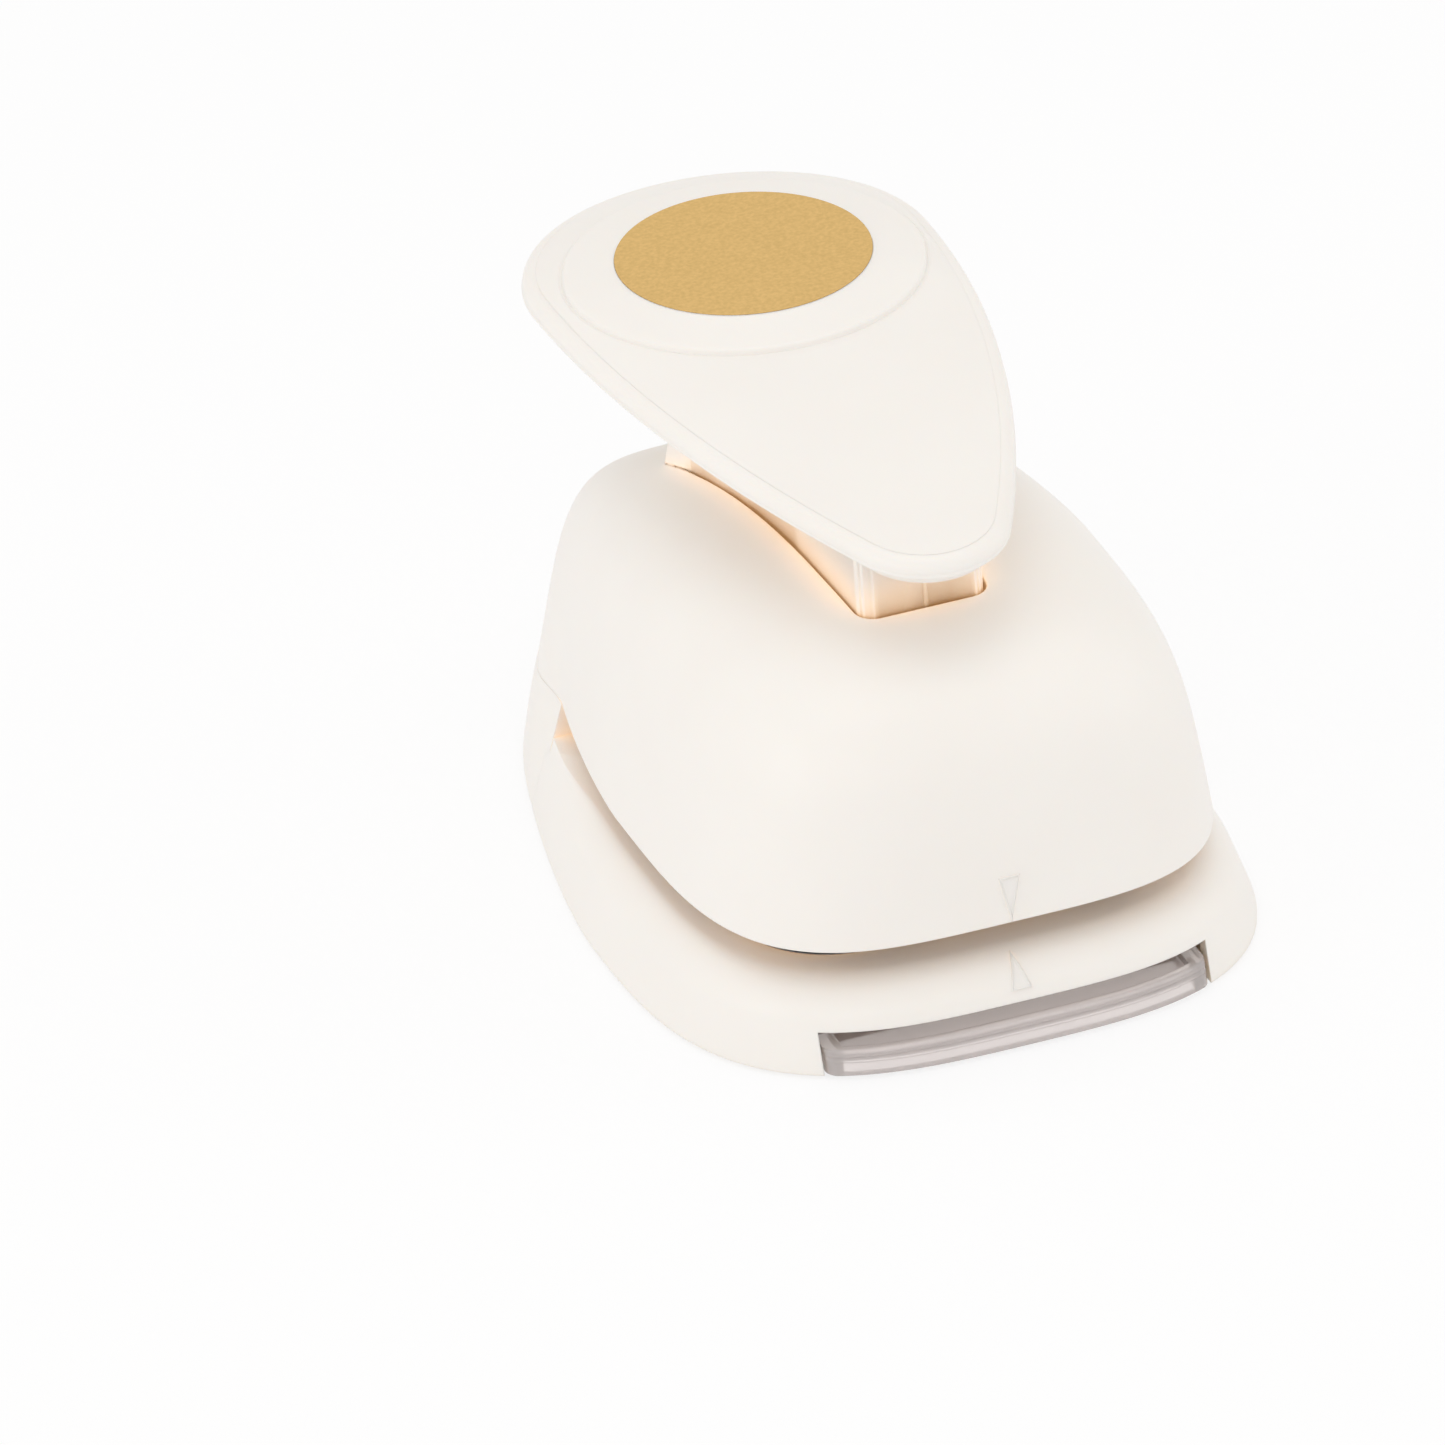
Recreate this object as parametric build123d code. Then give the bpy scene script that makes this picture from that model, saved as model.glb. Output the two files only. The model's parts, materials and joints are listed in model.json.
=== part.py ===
from build123d import *
from collections import namedtuple
import math
import os

os.makedirs("parts", exist_ok=True)

# Craft punch that cuts paper circles, pressed with a long lever pad.
# X runs to the right, Y to the rear and Z up, from the middle of the footprint on the table.
# Places along Y are given from the middle of the front lip and moved to that origin when saved.

# Die set: the punch cuts this circle
punch_y = -10.0
punch_radius = 25.0
cut_clearance = 0.08
plate_thick = 2.0
plate_side_margin = 11.0
plate_front_margin = 9.0
plate_rear_margin = 19.0
spacer_margin = 7.0
chip_hole_margin = 3.0
plate_front_corner = 16.0
plate_rear_corner = 4.0
seat_gap = 0.2
fit_gap = 0.04
paper_gap = 1.6

# Body: plan outline at the lip of the upper housing, then at the deck and the table
lip_side_margin = 9.2
lip_front_margin = 12.0
lip_rear_reach = 75.4
lip_widest_y = 3.5
lip_power_front = 3.65
lip_power_rear = 7.0
lip_taper_share = 0.285
deck_side_set = 1.6
deck_front_set = 5.0
deck_rear_out = 1.5
deck_power_front = 3.4
deck_taper_share = 0.12
floor_side_flare = 7.0
floor_front_flare = 5.0
floor_rear_flare = 4.0
floor_power_front = 3.1
floor_power_rear = 8.0
floor_taper_share = 0.27
taper_power = 1.5
outline_steps = 12
shell_wall = 2.4

# Heights of the body
foot_proud = 0.5
wall_height = 8.5
shoulder_drop = 5.5
throat_height = 5.7
deck_floor = 4.2
block_roof = 2.4
flare_shares = (0, 0.35, 0.7, 1)
round_shares = (0.25, 0.5, 0.75, 1)
edge_cross = 1.5
throat_end_margin = 9.5

# Form of the upper housing
side_draft_share = 0.13
front_draft_share = 0.008
rear_draft_share = 0.005
side_power = 4.75
front_power = 4.4
rear_power = 2.65
dome_section_shares = (0, 0.12, 0.26, 0.42, 0.58, 0.7, 0.8, 0.88, 0.94, 0.975, 0.992, 0.999)
dome_over_pivot = 20.65

# Slot in the housing's top for the lever's stem
slot_front_reach = 13.2
slot_half_width = 11.2
slot_straight = 26.8
slot_middle_run = 17.0
slot_middle_half = 14.1
slot_rear_run = 19.5
slot_rear_half = 21.6
slot_corner = 3.5
slot_gap = 0.55

# Alignment marks on the housing and on the deck edge
mark_proud = 0.35
mark_half_width = 1.8
mark_height = 8.5
deck_mark_rise = 0.4
deck_mark_height = 4.6

# Lever pivot and press bar
pivot_front_margin = 3.0
pivot_over_holder = 9.0
press_angle = 11.0
pin_radius = 2.0
pin_clearance = 0.06
press_bar_radius = 4.5
press_gap = 0.3
arm_thick = 2.0
arm_hub_radius = 6.0
arm_boss_radius = 5.0
arm_root_rise = 12.0
arm_root_reach = 52.0
arm_foot_rise = 4.0
stem_rise = 8.0
stem_wall = 2.0
stem_rib_half = 0.35
stem_rib_proud = 0.3

# Pivot bracket
ear_thick = 2.0
ear_half_depth = 5.5
ear_gap = 0.3
ear_reach = 1.35
web_height = 12.0
foot_reach = 13.0
foot_front_set = 2.5
bracket_screw_reach = 8.0
clip_thick = 1.0
clip_reach = 2.0
clip_gap = 0.3
pin_end = 1.0

# Punch holder, cutter, posts and springs
cutter_lift = 0.3
cutter_height = 13.6
cutter_wall = 3.5
cutter_web = 4.0
holder_thick = 3.0
post_margin = 6.0
post_radius = 2.0
post_clearance = 0.08
holder_ear_radius = 5.0
tower_half_width = 7.0
tower_half_depth = 6.0
wear_thick = 1.2
post_over = 3.0
post_seat = 1.8
wire = 0.9
spring_gap = 0.35
spring_turns = 6
spring_end_gap = 0.05

# Screws and rivets
screw_radius = 1.5
head_radius = 2.8
head_thick = 1.6
rivet_head_thick = 0.9
boss_radius = 4.0
cover_boss_radius = 3.5
thread_length = 12.0
cutter_screw_count = 3
cutter_screw_margin = 8.0
cutter_screw_bite = 3.0
die_screw_margin = 5.6
rivet_margin = 5.0
rivet_reach = 12.0
rivet_set = 6.0
side_screw_set = 11.0
side_screw_drop = 8.0
rear_screw_set = 15.0
rear_screw_margin = 18.5
housing_screw_set = 16.2
housing_screw_margin = 10.5
rear_boss_set = 25.2
rear_boss_margin = 10.0
cap_screw_set = 16.0
cap_screw_run = 9.4
tip_screw_set = 3.6

# Bottom cover and feet
cover_thick = 1.6
cover_gap = 0.3
foot_radius = 4.5
foot_sunk = 0.8
foot_side_set = 14.0
foot_rear_side_set = 16.0
foot_front_run = 20.0
foot_rear_margin = 6.5

# Chip tray and its opening
tray_side_margin = 8.0
tray_opening_height = 7.1
tray_side_gap = 0.5
tray_face_proud = 0.5
tray_wall = 1.6
tray_floor = 1.2
tray_float = 0.2
tray_rear_margin = 9.0
tray_side_height = 4.0
tray_front_height = 4.2
tray_block = 3.0
tray_block_depth = 5.0
rail_thick = 1.6
rail_over = 4.0
rail_front_set = 11.0
cover_notch = 4.0

# Lever pad
pad_rear_radius = 34.8
pad_rear_centre_y = 57.6
pad_tip_radius = 13.3
pad_tip_centre_y = -29.1
pad_flank_radius = 255.0
pad_over_housing = 15.8
pad_tilt = 1.85
pad_wall = 2.0
cap_rim_height = 3.0
cap_rim_inset_shares = (0.2, 0, 0.06, 0.3, 1)
cap_rim_height_shares = (0, 0.25, 0.6, 0.85, 1)
cap_rim_inset = 2.4
plateau_margin = 5.4
plateau_skirt = 0.9
plateau_shift = -3.3
plateau_rise = 7.8
plateau_step = 0.6
plateau_swell = 1.8
dish_depth = 3.0
dish_rim_inset = 1.0
dish_floor_inset = 4.0
dish_inset_shares = (1, 0.5, 0.15, 0)
dish_depth_shares = (1, 0.75, 0.35, 0)
disc_margin = 8.5
disc_thick = 0.3
disc_sunk = 0.15
disc_border = 0.6

# Shared allowance for cuts
overrun = 2.0

# Worked-out plan sizes
plate_half_width = punch_radius + plate_side_margin
plate_front_y = punch_y - punch_radius - plate_front_margin
plate_rear_y = punch_y + punch_radius + plate_rear_margin
spacer_front_y = punch_y + punch_radius + spacer_margin
chip_hole_radius = punch_radius + chip_hole_margin
lip_half_width = plate_half_width + lip_side_margin
lip_front_reach = lip_widest_y - plate_front_y + lip_front_margin
lip_rear_y = lip_widest_y + lip_rear_reach
deck_half_width = lip_half_width - deck_side_set
deck_front_reach = lip_front_reach - deck_front_set
deck_rear_reach = lip_rear_reach + deck_rear_out
floor_half_width = lip_half_width + floor_side_flare
floor_front = lip_front_reach - lip_widest_y + floor_front_flare
floor_rear = lip_rear_y + floor_rear_flare
throat_end_y = plate_rear_y + throat_end_margin
pivot_y = punch_y - punch_radius - pivot_front_margin
slot_front_y = pivot_y + slot_front_reach
slot_bend_y = slot_front_y + slot_straight
slot_middle_y = slot_bend_y + slot_middle_run
slot_rear_y = slot_middle_y + slot_rear_run
arm_root_y = pivot_y + arm_root_reach
post_x = punch_radius + post_margin
tray_opening_half = punch_radius + tray_side_margin
tray_rear_y = punch_y + punch_radius + tray_rear_margin
rail_rear_y = tray_rear_y + rail_over
rail_front_y = rail_front_set - floor_front
cover_front_y = rail_front_y + cover_notch
bracket_screw_x = slot_half_width - slot_gap + ear_reach + ear_thick + bracket_screw_reach

# Worked-out places of screws, rivets and feet
cutter_screw_circle = punch_radius - cutter_screw_margin
die_screw_circle = chip_hole_radius + die_screw_margin
die_screw_across = die_screw_circle * math.cos(math.pi / 6)
die_screw_along = die_screw_circle / 2
rivet_y = plate_rear_y - rivet_set
die_screws = ((die_screw_across, punch_y - die_screw_along), (die_screw_across, punch_y + die_screw_along))
plate_rivets = ((plate_half_width - rivet_margin, rivet_y), (rivet_reach, rivet_y))
cover_screws = (
    (floor_half_width - side_screw_set, punch_y - side_screw_drop),
    (lip_half_width - rear_screw_set, throat_end_y + rear_screw_margin),
)
housing_screws = (
    (lip_half_width - housing_screw_set, throat_end_y + housing_screw_margin),
    (lip_half_width - rear_boss_set, lip_rear_y - rear_boss_margin),
)
cap_screws = (
    (pad_rear_radius - cap_screw_set, pad_rear_centre_y + cap_screw_run),
    (0.0, pad_tip_centre_y - tip_screw_set),
)
foot_places = (
    (floor_half_width - foot_side_set, punch_y - foot_front_run),
    (floor_half_width - foot_rear_side_set, throat_end_y + foot_rear_margin),
)

# Worked-out levels
base_z = foot_proud
shoulder_z = base_z + wall_height
deck_z = shoulder_z + shoulder_drop
lip_z = deck_z + throat_height
deck_mark_low_z = shoulder_z + deck_mark_rise
die_bottom_z = deck_z - plate_thick
deck_under_z = deck_z - deck_floor
guide_bottom_z = deck_z + paper_gap
guide_top_z = guide_bottom_z + plate_thick
block_under_z = lip_z - block_roof
cover_top_z = base_z + cover_thick
cutter_bottom_z = guide_bottom_z + cutter_lift
holder_z = cutter_bottom_z + cutter_height
holder_top_z = holder_z + holder_thick
pivot_z = holder_top_z + pivot_over_holder
dome_height = pivot_z - lip_z + dome_over_pivot
half_press = math.radians(press_angle) / 2
press_arm = (punch_y - pivot_y) / math.cos(half_press)
press_bar_z = pivot_z + press_arm * math.sin(half_press)
wear_top_z = press_bar_z - press_bar_radius - press_gap
arm_root_z = pivot_z + arm_root_rise
arm_foot_z = pivot_z + arm_foot_rise
stem_bottom_z = pivot_z + stem_rise
spring_radius = post_radius + spring_gap + wire
slot_level_z = lip_z + dome_height
stem_long_y = slot_rear_y + slot_corner
stem_rear_radius = math.hypot(slot_rear_y - slot_gap - pivot_y, slot_level_z - pivot_z)
ear_inner_x = slot_half_width - slot_gap + ear_reach
pad_rim_z = slot_level_z + pad_over_housing
pad_rear_y = pad_rear_centre_y + pad_rear_radius
plateau_centre_y = pad_rear_centre_y + plateau_shift
plateau_radius = pad_rear_radius - plateau_margin
plateau_z = pad_rim_z + plateau_rise
disc_z = plateau_z + plateau_swell
disc_radius = plateau_radius - disc_margin
origin_y = (pad_rear_y - floor_front) / 2

Outline = namedtuple("Outline", "half front rear middle front_power rear_power taper")
FLOOR = Outline(
    floor_half_width, floor_front, floor_rear, 0, floor_power_front, floor_power_rear, floor_taper_share
)
DECK = Outline(
    deck_half_width,
    deck_front_reach,
    deck_rear_reach,
    lip_widest_y,
    deck_power_front,
    lip_power_rear,
    deck_taper_share,
)
LIP = Outline(
    lip_half_width,
    lip_front_reach,
    lip_rear_reach,
    lip_widest_y,
    lip_power_front,
    lip_power_rear,
    lip_taper_share,
)


def save(node, shape):
    """Write one named piece, moved to the shared origin."""
    export_step(shape.moved(Location((0, -origin_y, 0))), f"parts/{node}.step")


def mixed(low, high, share):
    """Outline between two others."""
    return Outline(*[a + (b - a) * share for a, b in zip(low, high)])


def drawn_in(outline, wall):
    """Outline moved inwards by a wall."""
    return outline._replace(
        half=outline.half - wall, front=outline.front - wall, rear=outline.rear - wall
    )


def outline_point(outline, angle):
    """Point of a superellipse whose sides taper towards the rear."""
    across, along = math.cos(angle), math.sin(angle)
    reach, power = outline.rear, outline.rear_power
    if along < 0:
        reach, power = outline.front, outline.front_power
    radius = (abs(across / outline.half) ** power + abs(along / reach) ** power) ** (-1 / power)
    x, y = radius * across, radius * along
    if y > 0:
        x *= 1 - outline.taper * (y / outline.rear) ** taper_power
    return (x, outline.middle + y)


def outline_face(outline, z):
    """Flat face inside an outline, closed from four curves."""
    curves = []
    for quarter in range(4):
        start = quarter * math.pi / 2
        angles = [start + math.pi / 2 * step / outline_steps for step in range(outline_steps + 1)]
        ways = [(-math.sin(turn), math.cos(turn)) for turn in (angles[0], angles[-1])]
        curves.append(Spline(*[outline_point(outline, angle) for angle in angles], tangents=ways))
    return Plane.XY.offset(z) * make_face(curves)


def wall_outline(z, wall=0):
    """Outline of the flared body wall at one height."""
    return drawn_in(mixed(FLOOR, LIP, (z - base_z) / (lip_z - base_z)), wall)


def flared_form(low, high, wall=0):
    """Solid inside the flared wall between two heights."""
    return loft([outline_face(wall_outline(z, wall), z) for z in (low, high)])


def deck_form(grow=0):
    """Form whose upper part rounds the wall over into the deck."""
    sections = []
    for share in flare_shares:
        z = base_z - overrun + (shoulder_z - base_z + overrun) * share
        sections.append(outline_face(wall_outline(z, -edge_cross * (1 - share) - grow), z))
    for share in round_shares:
        angle = share * math.pi / 2
        z = shoulder_z + (deck_z + grow - shoulder_z) * math.sin(angle)
        outline = mixed(wall_outline(z), DECK, 1 - math.cos(angle))
        sections.append(outline_face(drawn_in(outline, -grow), z))
    return loft(sections)


def round_over(share, power):
    """Share of the full width that is left at one share of the height."""
    return (1 - share**power) ** (1 / power)


def dome_form(wall=0):
    """Domed form of the upper housing, drawn in by a wall."""
    start = drawn_in(LIP, wall)
    sections = []
    for share in dome_section_shares:
        outline = start._replace(
            half=start.half * (1 - side_draft_share * share) * round_over(share, side_power),
            front=start.front * (1 - front_draft_share * share) * round_over(share, front_power),
            rear=start.rear * (1 - rear_draft_share * share) * round_over(share, rear_power),
        )
        sections.append(outline_face(outline, lip_z + (dome_height - wall) * share))
    return loft(sections)


def block(x, y, z):
    """Box between two limits on each axis."""
    size = [high - low for low, high in (x, y, z)]
    middle = [(high + low) / 2 for low, high in (x, y, z)]
    return Pos(*middle) * Box(*size)


def rod(x, y, low, high, radius):
    """Upright cylinder between two heights."""
    return Pos(x, y, (low + high) / 2) * Cylinder(radius, high - low)


def cross_rod(y, z, left, right, radius):
    """Cylinder along X between two places."""
    return Pos((left + right) / 2, y, z) * Rot(0, 90, 0) * Cylinder(radius, right - left)


def both_sides(places):
    """Places on the right with their mirror images on the left."""
    found = []
    for x, y in places:
        found.append((x, y))
        if x > 0:
            found.append((-x, y))
    return found


def screws(places, head_z, up, length):
    """Group of pan-head screws whose heads seat at one height."""
    way = 1 if up else -1
    solids = []
    for x, y in both_sides(places):
        head_ends = sorted((head_z, head_z - way * head_thick))
        shank_ends = sorted((head_z, head_z + way * length))
        solids.append(rod(x, y, *head_ends, head_radius) + rod(x, y, *shank_ends, screw_radius))
    return Compound(solids)


def holes(places, low, high, radius):
    """Upright cutters for a group of holes."""
    return [rod(x, y, low, high, radius) for x, y in both_sides(places)]


def mark_prism(rear_y, low_z, high_z, tip_up):
    """Triangular prism forward of one place, which cuts an alignment mark out of a thicker skin."""
    foot_z, tip_z = (low_z, high_z) if tip_up else (high_z, low_z)
    face = make_face(Polyline((-mark_half_width, foot_z), (mark_half_width, foot_z), (0, tip_z), close=True))
    return extrude(Plane.XZ.offset(-rear_y) * face, amount=floor_front + overrun + rear_y)


def slot_face(inset, rear_y, z):
    """Outline of the slot in the housing's top, narrow in front and flared to the rear."""
    half = slot_half_width - inset
    front_y = slot_front_y + inset
    corner = slot_corner - inset / 2
    rear_half = slot_rear_half - inset
    middle_half = slot_middle_half - inset
    slope = (slot_rear_half - slot_middle_half) / (slot_rear_y - slot_middle_y)
    run = rear_y - slot_rear_y
    right_side = [(half, front_y + corner), (half, slot_bend_y)]
    flare = ThreePointArc((half, slot_bend_y), (middle_half, slot_middle_y), (rear_half, slot_rear_y))
    lines = [
        Line((0, front_y), (half - corner, front_y)),
        RadiusArc((half - corner, front_y), right_side[0], -corner),
        Line(*right_side),
        flare,
    ]
    end = (rear_half + slope * run, rear_y)
    if run > 0:
        lines.append(Line((rear_half, slot_rear_y), end))
    lines.append(Line(end, (0, rear_y)))
    half_face = make_face(Curve() + lines + [Line((0, rear_y), (0, front_y))])
    return Plane.XY.offset(z) * (half_face + mirror(half_face, Plane.YZ))


def plate_face(grow, z):
    """Outline of the die and guide plates."""
    width = 2 * (plate_half_width + grow)
    depth = plate_rear_y - plate_front_y + 2 * grow
    face = Pos(0, (plate_rear_y + plate_front_y) / 2) * Rectangle(width, depth)
    front = face.vertices().sort_by(Axis.Y)[:2]
    face = fillet(front, plate_front_corner)
    rear = face.vertices().sort_by(Axis.Y)[-2:]
    return Plane.XY.offset(z) * fillet(rear, plate_rear_corner)


def pad_plane(height):
    """Plane of the pad's rim, raised by a height."""
    tilt = math.radians(pad_tilt)
    normal = Vector(0, -math.sin(tilt), math.cos(tilt))
    return Plane(origin=Vector(0, 0, pad_rim_z) + normal * height, x_dir=(1, 0, 0), z_dir=normal)


def pad_corners():
    """Centre, radius and end angles of the arcs on the pad's right side."""
    run = pad_rear_centre_y - pad_tip_centre_y
    rear_reach, tip_reach = pad_flank_radius - pad_rear_radius, pad_flank_radius - pad_tip_radius
    along = (tip_reach**2 - rear_reach**2 - run**2) / (2 * run)
    across = math.sqrt(rear_reach**2 - along**2)
    low = math.atan2(-run - along, across)
    high = math.atan2(-along, across)
    return (
        (0, pad_tip_centre_y, pad_tip_radius, -math.pi / 2, low),
        (-across, pad_rear_centre_y + along, pad_flank_radius, low, high),
        (0, pad_rear_centre_y, pad_rear_radius, high, math.pi / 2),
    )


def arc_ring(pieces):
    """Closed face from arcs on the right and their mirror images."""
    right = []
    for x, y, radius, start, end in pieces:
        turns = (start, (start + end) / 2, end)
        right.append([Vector(x + radius * math.cos(turn), y + radius * math.sin(turn)) for turn in turns])
    left = [[Vector(-spot.X, spot.Y) for spot in reversed(spots)] for spots in reversed(right)]
    return make_face([ThreePointArc(*spots) for spots in right + left])


def pad_face(inset, height):
    """Teardrop face on the tilted plane of the rim."""
    pieces = [(x, y, radius - inset, start, end) for x, y, radius, start, end in pad_corners()]
    return pad_plane(height) * arc_ring(pieces)


def plateau_face(radius, z):
    """Level circle split into arcs that face those of the teardrop."""
    pieces = []
    low = -math.pi / 2
    for x, y, arc_radius, start, end in pad_corners():
        end_x, end_y = x + arc_radius * math.cos(end), y + arc_radius * math.sin(end)
        high = math.atan2(end_y - plateau_centre_y, end_x)
        pieces.append((0, plateau_centre_y, radius, low, high))
        low = high
    return Plane.XY.offset(z) * arc_ring(pieces)


def cap_form(wall=0):
    """Top cap of the pad: rounded rim, then a crown that rises to the level plateau."""
    sections = []
    for inset_share, height_share in zip(cap_rim_inset_shares, cap_rim_height_shares):
        sections.append(pad_face(wall + cap_rim_inset * inset_share, (cap_rim_height - wall) * height_share))
    sections.append(plateau_face(plateau_radius + plateau_skirt - wall, plateau_z - plateau_step - wall))
    return loft(sections, ruled=True)


def dish_form(wall=0):
    """Shallow dish under the cap."""
    sections = []
    for inset_share, depth_share in zip(dish_inset_shares, dish_depth_shares):
        inset = dish_rim_inset + (dish_floor_inset - dish_rim_inset) * inset_share + wall
        sections.append(pad_face(inset, -(dish_depth - wall) * depth_share))
    return loft(sections, ruled=True)


def biarc(start, start_way, end, end_way):
    """Two tangent arcs between two points with given directions."""
    span = end - start
    both = start_way + end_way
    along = span.dot(both)
    spread = 2 * (1 - start_way.dot(end_way))
    reach = (math.sqrt(along**2 + spread * span.dot(span)) - along) / spread
    join = (start + end + (start_way - end_way) * reach) / 2
    first = TangentArc(start, join, tangent=start_way)
    second = TangentArc(join, end, tangent=first % 1)
    return [first, second]


def helix_point(angle, pitch):
    """Point and direction on the spring's centre line."""
    rise = pitch / (2 * math.pi)
    point = Vector(spring_radius * math.cos(angle), spring_radius * math.sin(angle), rise * angle)
    way = Vector(-spring_radius * math.sin(angle), spring_radius * math.cos(angle), rise)
    return point, way.normalized()


def spring(x, y, low, high):
    """Helical spring between two heights, one unbroken wire."""
    pitch = (high - low - wire) / spring_turns
    edges = []
    for step in range(4 * spring_turns):
        start, start_way = helix_point(step * math.pi / 2, pitch)
        end, end_way = helix_point((step + 1) * math.pi / 2, pitch)
        edges += biarc(start, start_way, end, end_way)
    path = Wire(edges)
    section = Plane(origin=path @ 0, z_dir=path % 0) * Circle(wire / 2)
    print("spring: least gap between turns", round(pitch - wire, 3))
    return Pos(x, y, low + wire / 2) * sweep(section, path=path)


# Lower body
front_room = block(
    (-floor_half_width - overrun, floor_half_width + overrun),
    (-floor_front - overrun, throat_end_y),
    (base_z, lip_z + overrun),
)
base = flared_form(base_z, lip_z) - (front_room - deck_form())
base += deck_form(mark_proud) & mark_prism(
    lip_widest_y - deck_front_reach, deck_mark_low_z, deck_mark_low_z + deck_mark_height, True
)
under_deck = block(
    (-floor_half_width, floor_half_width),
    (-floor_front, throat_end_y + shell_wall),
    (deck_under_z, lip_z),
)
base -= flared_form(base_z - overrun, block_under_z, shell_wall) - under_deck
base -= block(
    (-tray_opening_half, tray_opening_half),
    (-floor_front - overrun, rail_front_y),
    (base_z - overrun, base_z + tray_opening_height),
)
for side in (-1, 1):
    rail_x = sorted((side * tray_opening_half, side * (tray_opening_half + rail_thick)))
    base += block(rail_x, (rail_front_y - shell_wall, rail_rear_y), (cover_top_z, deck_under_z))
for x, y in both_sides(cover_screws):
    boss_top = deck_under_z if y < throat_end_y else block_under_z
    pilot_top = cover_top_z + thread_length / 2 + fit_gap
    base += rod(x, y, cover_top_z, boss_top, cover_boss_radius)
    base -= rod(x, y, cover_top_z - overrun, pilot_top, screw_radius + fit_gap)
base -= extrude(plate_face(seat_gap, die_bottom_z), amount=plate_thick + overrun)
base -= rod(0, punch_y, deck_under_z - overrun, deck_z, chip_hole_radius)
for cutter in holes(die_screws, deck_under_z - overrun, deck_z, screw_radius + fit_gap):
    base -= cutter
for cutter in holes(housing_screws, block_under_z - overrun, lip_z + overrun, screw_radius + fit_gap):
    base -= cutter
save("base_shell", base)

# Upper housing
housing = dome_form() - dome_form(shell_wall)
bosses = dome_form(shell_wall / 2)
boss_rods = [rod(x, y, lip_z, slot_level_z, boss_radius) for x, y in both_sides(housing_screws)]
housing += bosses & Compound(boss_rods)
for cutter in holes(housing_screws, lip_z - overrun, lip_z + thread_length + fit_gap, screw_radius + fit_gap):
    housing -= cutter
housing += dome_form(-mark_proud) & mark_prism(
    lip_widest_y - lip_front_reach + shell_wall / 2, lip_z, lip_z + mark_height, False
)
slot_room = extrude(slot_face(0, stem_long_y, stem_bottom_z), amount=slot_level_z - stem_bottom_z + overrun)
slot_sweep = cross_rod(pivot_y, pivot_z, -floor_half_width, floor_half_width, stem_rear_radius + slot_gap)
housing -= slot_room & slot_sweep
save("housing", housing)
save("housing_screws", screws(housing_screws, block_under_z, True, block_roof + thread_length))

# Bottom cover, its screws and the rubber feet
cover = extrude(outline_face(wall_outline(cover_top_z, shell_wall + cover_gap), base_z), amount=cover_thick)
cover -= block(
    (-tray_opening_half, tray_opening_half),
    (-floor_front, cover_front_y),
    (base_z - overrun, cover_top_z + overrun),
)
screw_group = []
for x, y in both_sides(cover_screws):
    at = Pos(x, y, base_z + cover_thick / 2)
    cover -= at * Cone(head_radius + fit_gap, screw_radius + fit_gap, cover_thick)
    shank = rod(x, y, cover_top_z, cover_top_z + thread_length / 2, screw_radius)
    screw_group.append(at * Cone(head_radius, screw_radius, cover_thick) + shank)
feet = []
for x, y in both_sides(foot_places):
    cover -= rod(x, y, base_z - overrun, base_z + foot_sunk, foot_radius + fit_gap)
    feet.append(rod(x, y, 0, base_z + foot_sunk, foot_radius))
save("bottom_cover", cover)
save("cover_screws", Compound(screw_group))
save("rubber_feet", Compound(feet))

# Chip tray
tray_half = tray_opening_half - tray_side_gap
tray_z = cover_top_z + tray_float
tray_deck_z = tray_z + tray_floor
side_top_z = tray_z + tray_side_height
front_low_z = base_z + tray_float
front_top_z = front_low_z + tray_front_height
front_end_y = cover_front_y - cover_gap
well_front_y = rail_front_y + tray_block_depth / 2
block_half = tray_half - tray_block
tray_form = flared_form(base_z - overrun, lip_z, -tray_face_proud)
tray_inner = flared_form(base_z - overrun, lip_z, tray_wall - tray_face_proud)
tray_limit_y = -floor_front - overrun
tray = block((-tray_half, tray_half), (rail_front_y, tray_rear_y), (tray_z, side_top_z))
tray += block((-tray_half, tray_half), (tray_limit_y, front_end_y), (front_low_z, front_top_z))
well = block(
    (tray_wall - tray_half, tray_half - tray_wall),
    (well_front_y, tray_rear_y - tray_wall),
    (tray_deck_z, side_top_z + overrun),
)
well += block((-block_half, block_half), (tray_limit_y, well_front_y), (tray_deck_z, side_top_z + overrun))
under = block((-block_half, block_half), (tray_limit_y, front_end_y - tray_wall), (base_z, tray_z))
tray = (tray & tray_form) - ((well + under) & tray_inner)
save("chip_tray", tray)

# Die plate, spacer and guide plate, riveted at the rear
die_plate = extrude(plate_face(0, die_bottom_z), amount=plate_thick)
guide_plate = extrude(plate_face(0, guide_bottom_z), amount=plate_thick)
spacer_room = block(
    (-plate_half_width, plate_half_width), (spacer_front_y, plate_rear_y), (deck_z, guide_bottom_z)
)
spacer = extrude(plate_face(0, deck_z), amount=paper_gap) & spacer_room
bore = rod(0, punch_y, die_bottom_z - overrun, guide_top_z + overrun, punch_radius + cut_clearance)
rivet_low = die_bottom_z + seat_gap
rivet_holes = holes(plate_rivets, rivet_low, guide_top_z + overrun, screw_radius + fit_gap)
screw_tip_z = deck_z - seat_gap
die_plate -= bore
guide_plate -= bore
for cutter in rivet_holes:
    die_plate -= cutter
    guide_plate -= cutter
    spacer -= cutter
for cutter in holes(die_screws, die_bottom_z - overrun, screw_tip_z + fit_gap, screw_radius + fit_gap):
    die_plate -= cutter
bracket_screws = ((bracket_screw_x, pivot_y),)
bracket_tip_z = guide_top_z - post_seat
for cutter in holes(bracket_screws, bracket_tip_z, guide_top_z + overrun, screw_radius + fit_gap):
    guide_plate -= cutter
posts = ((post_x, punch_y),)
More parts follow.
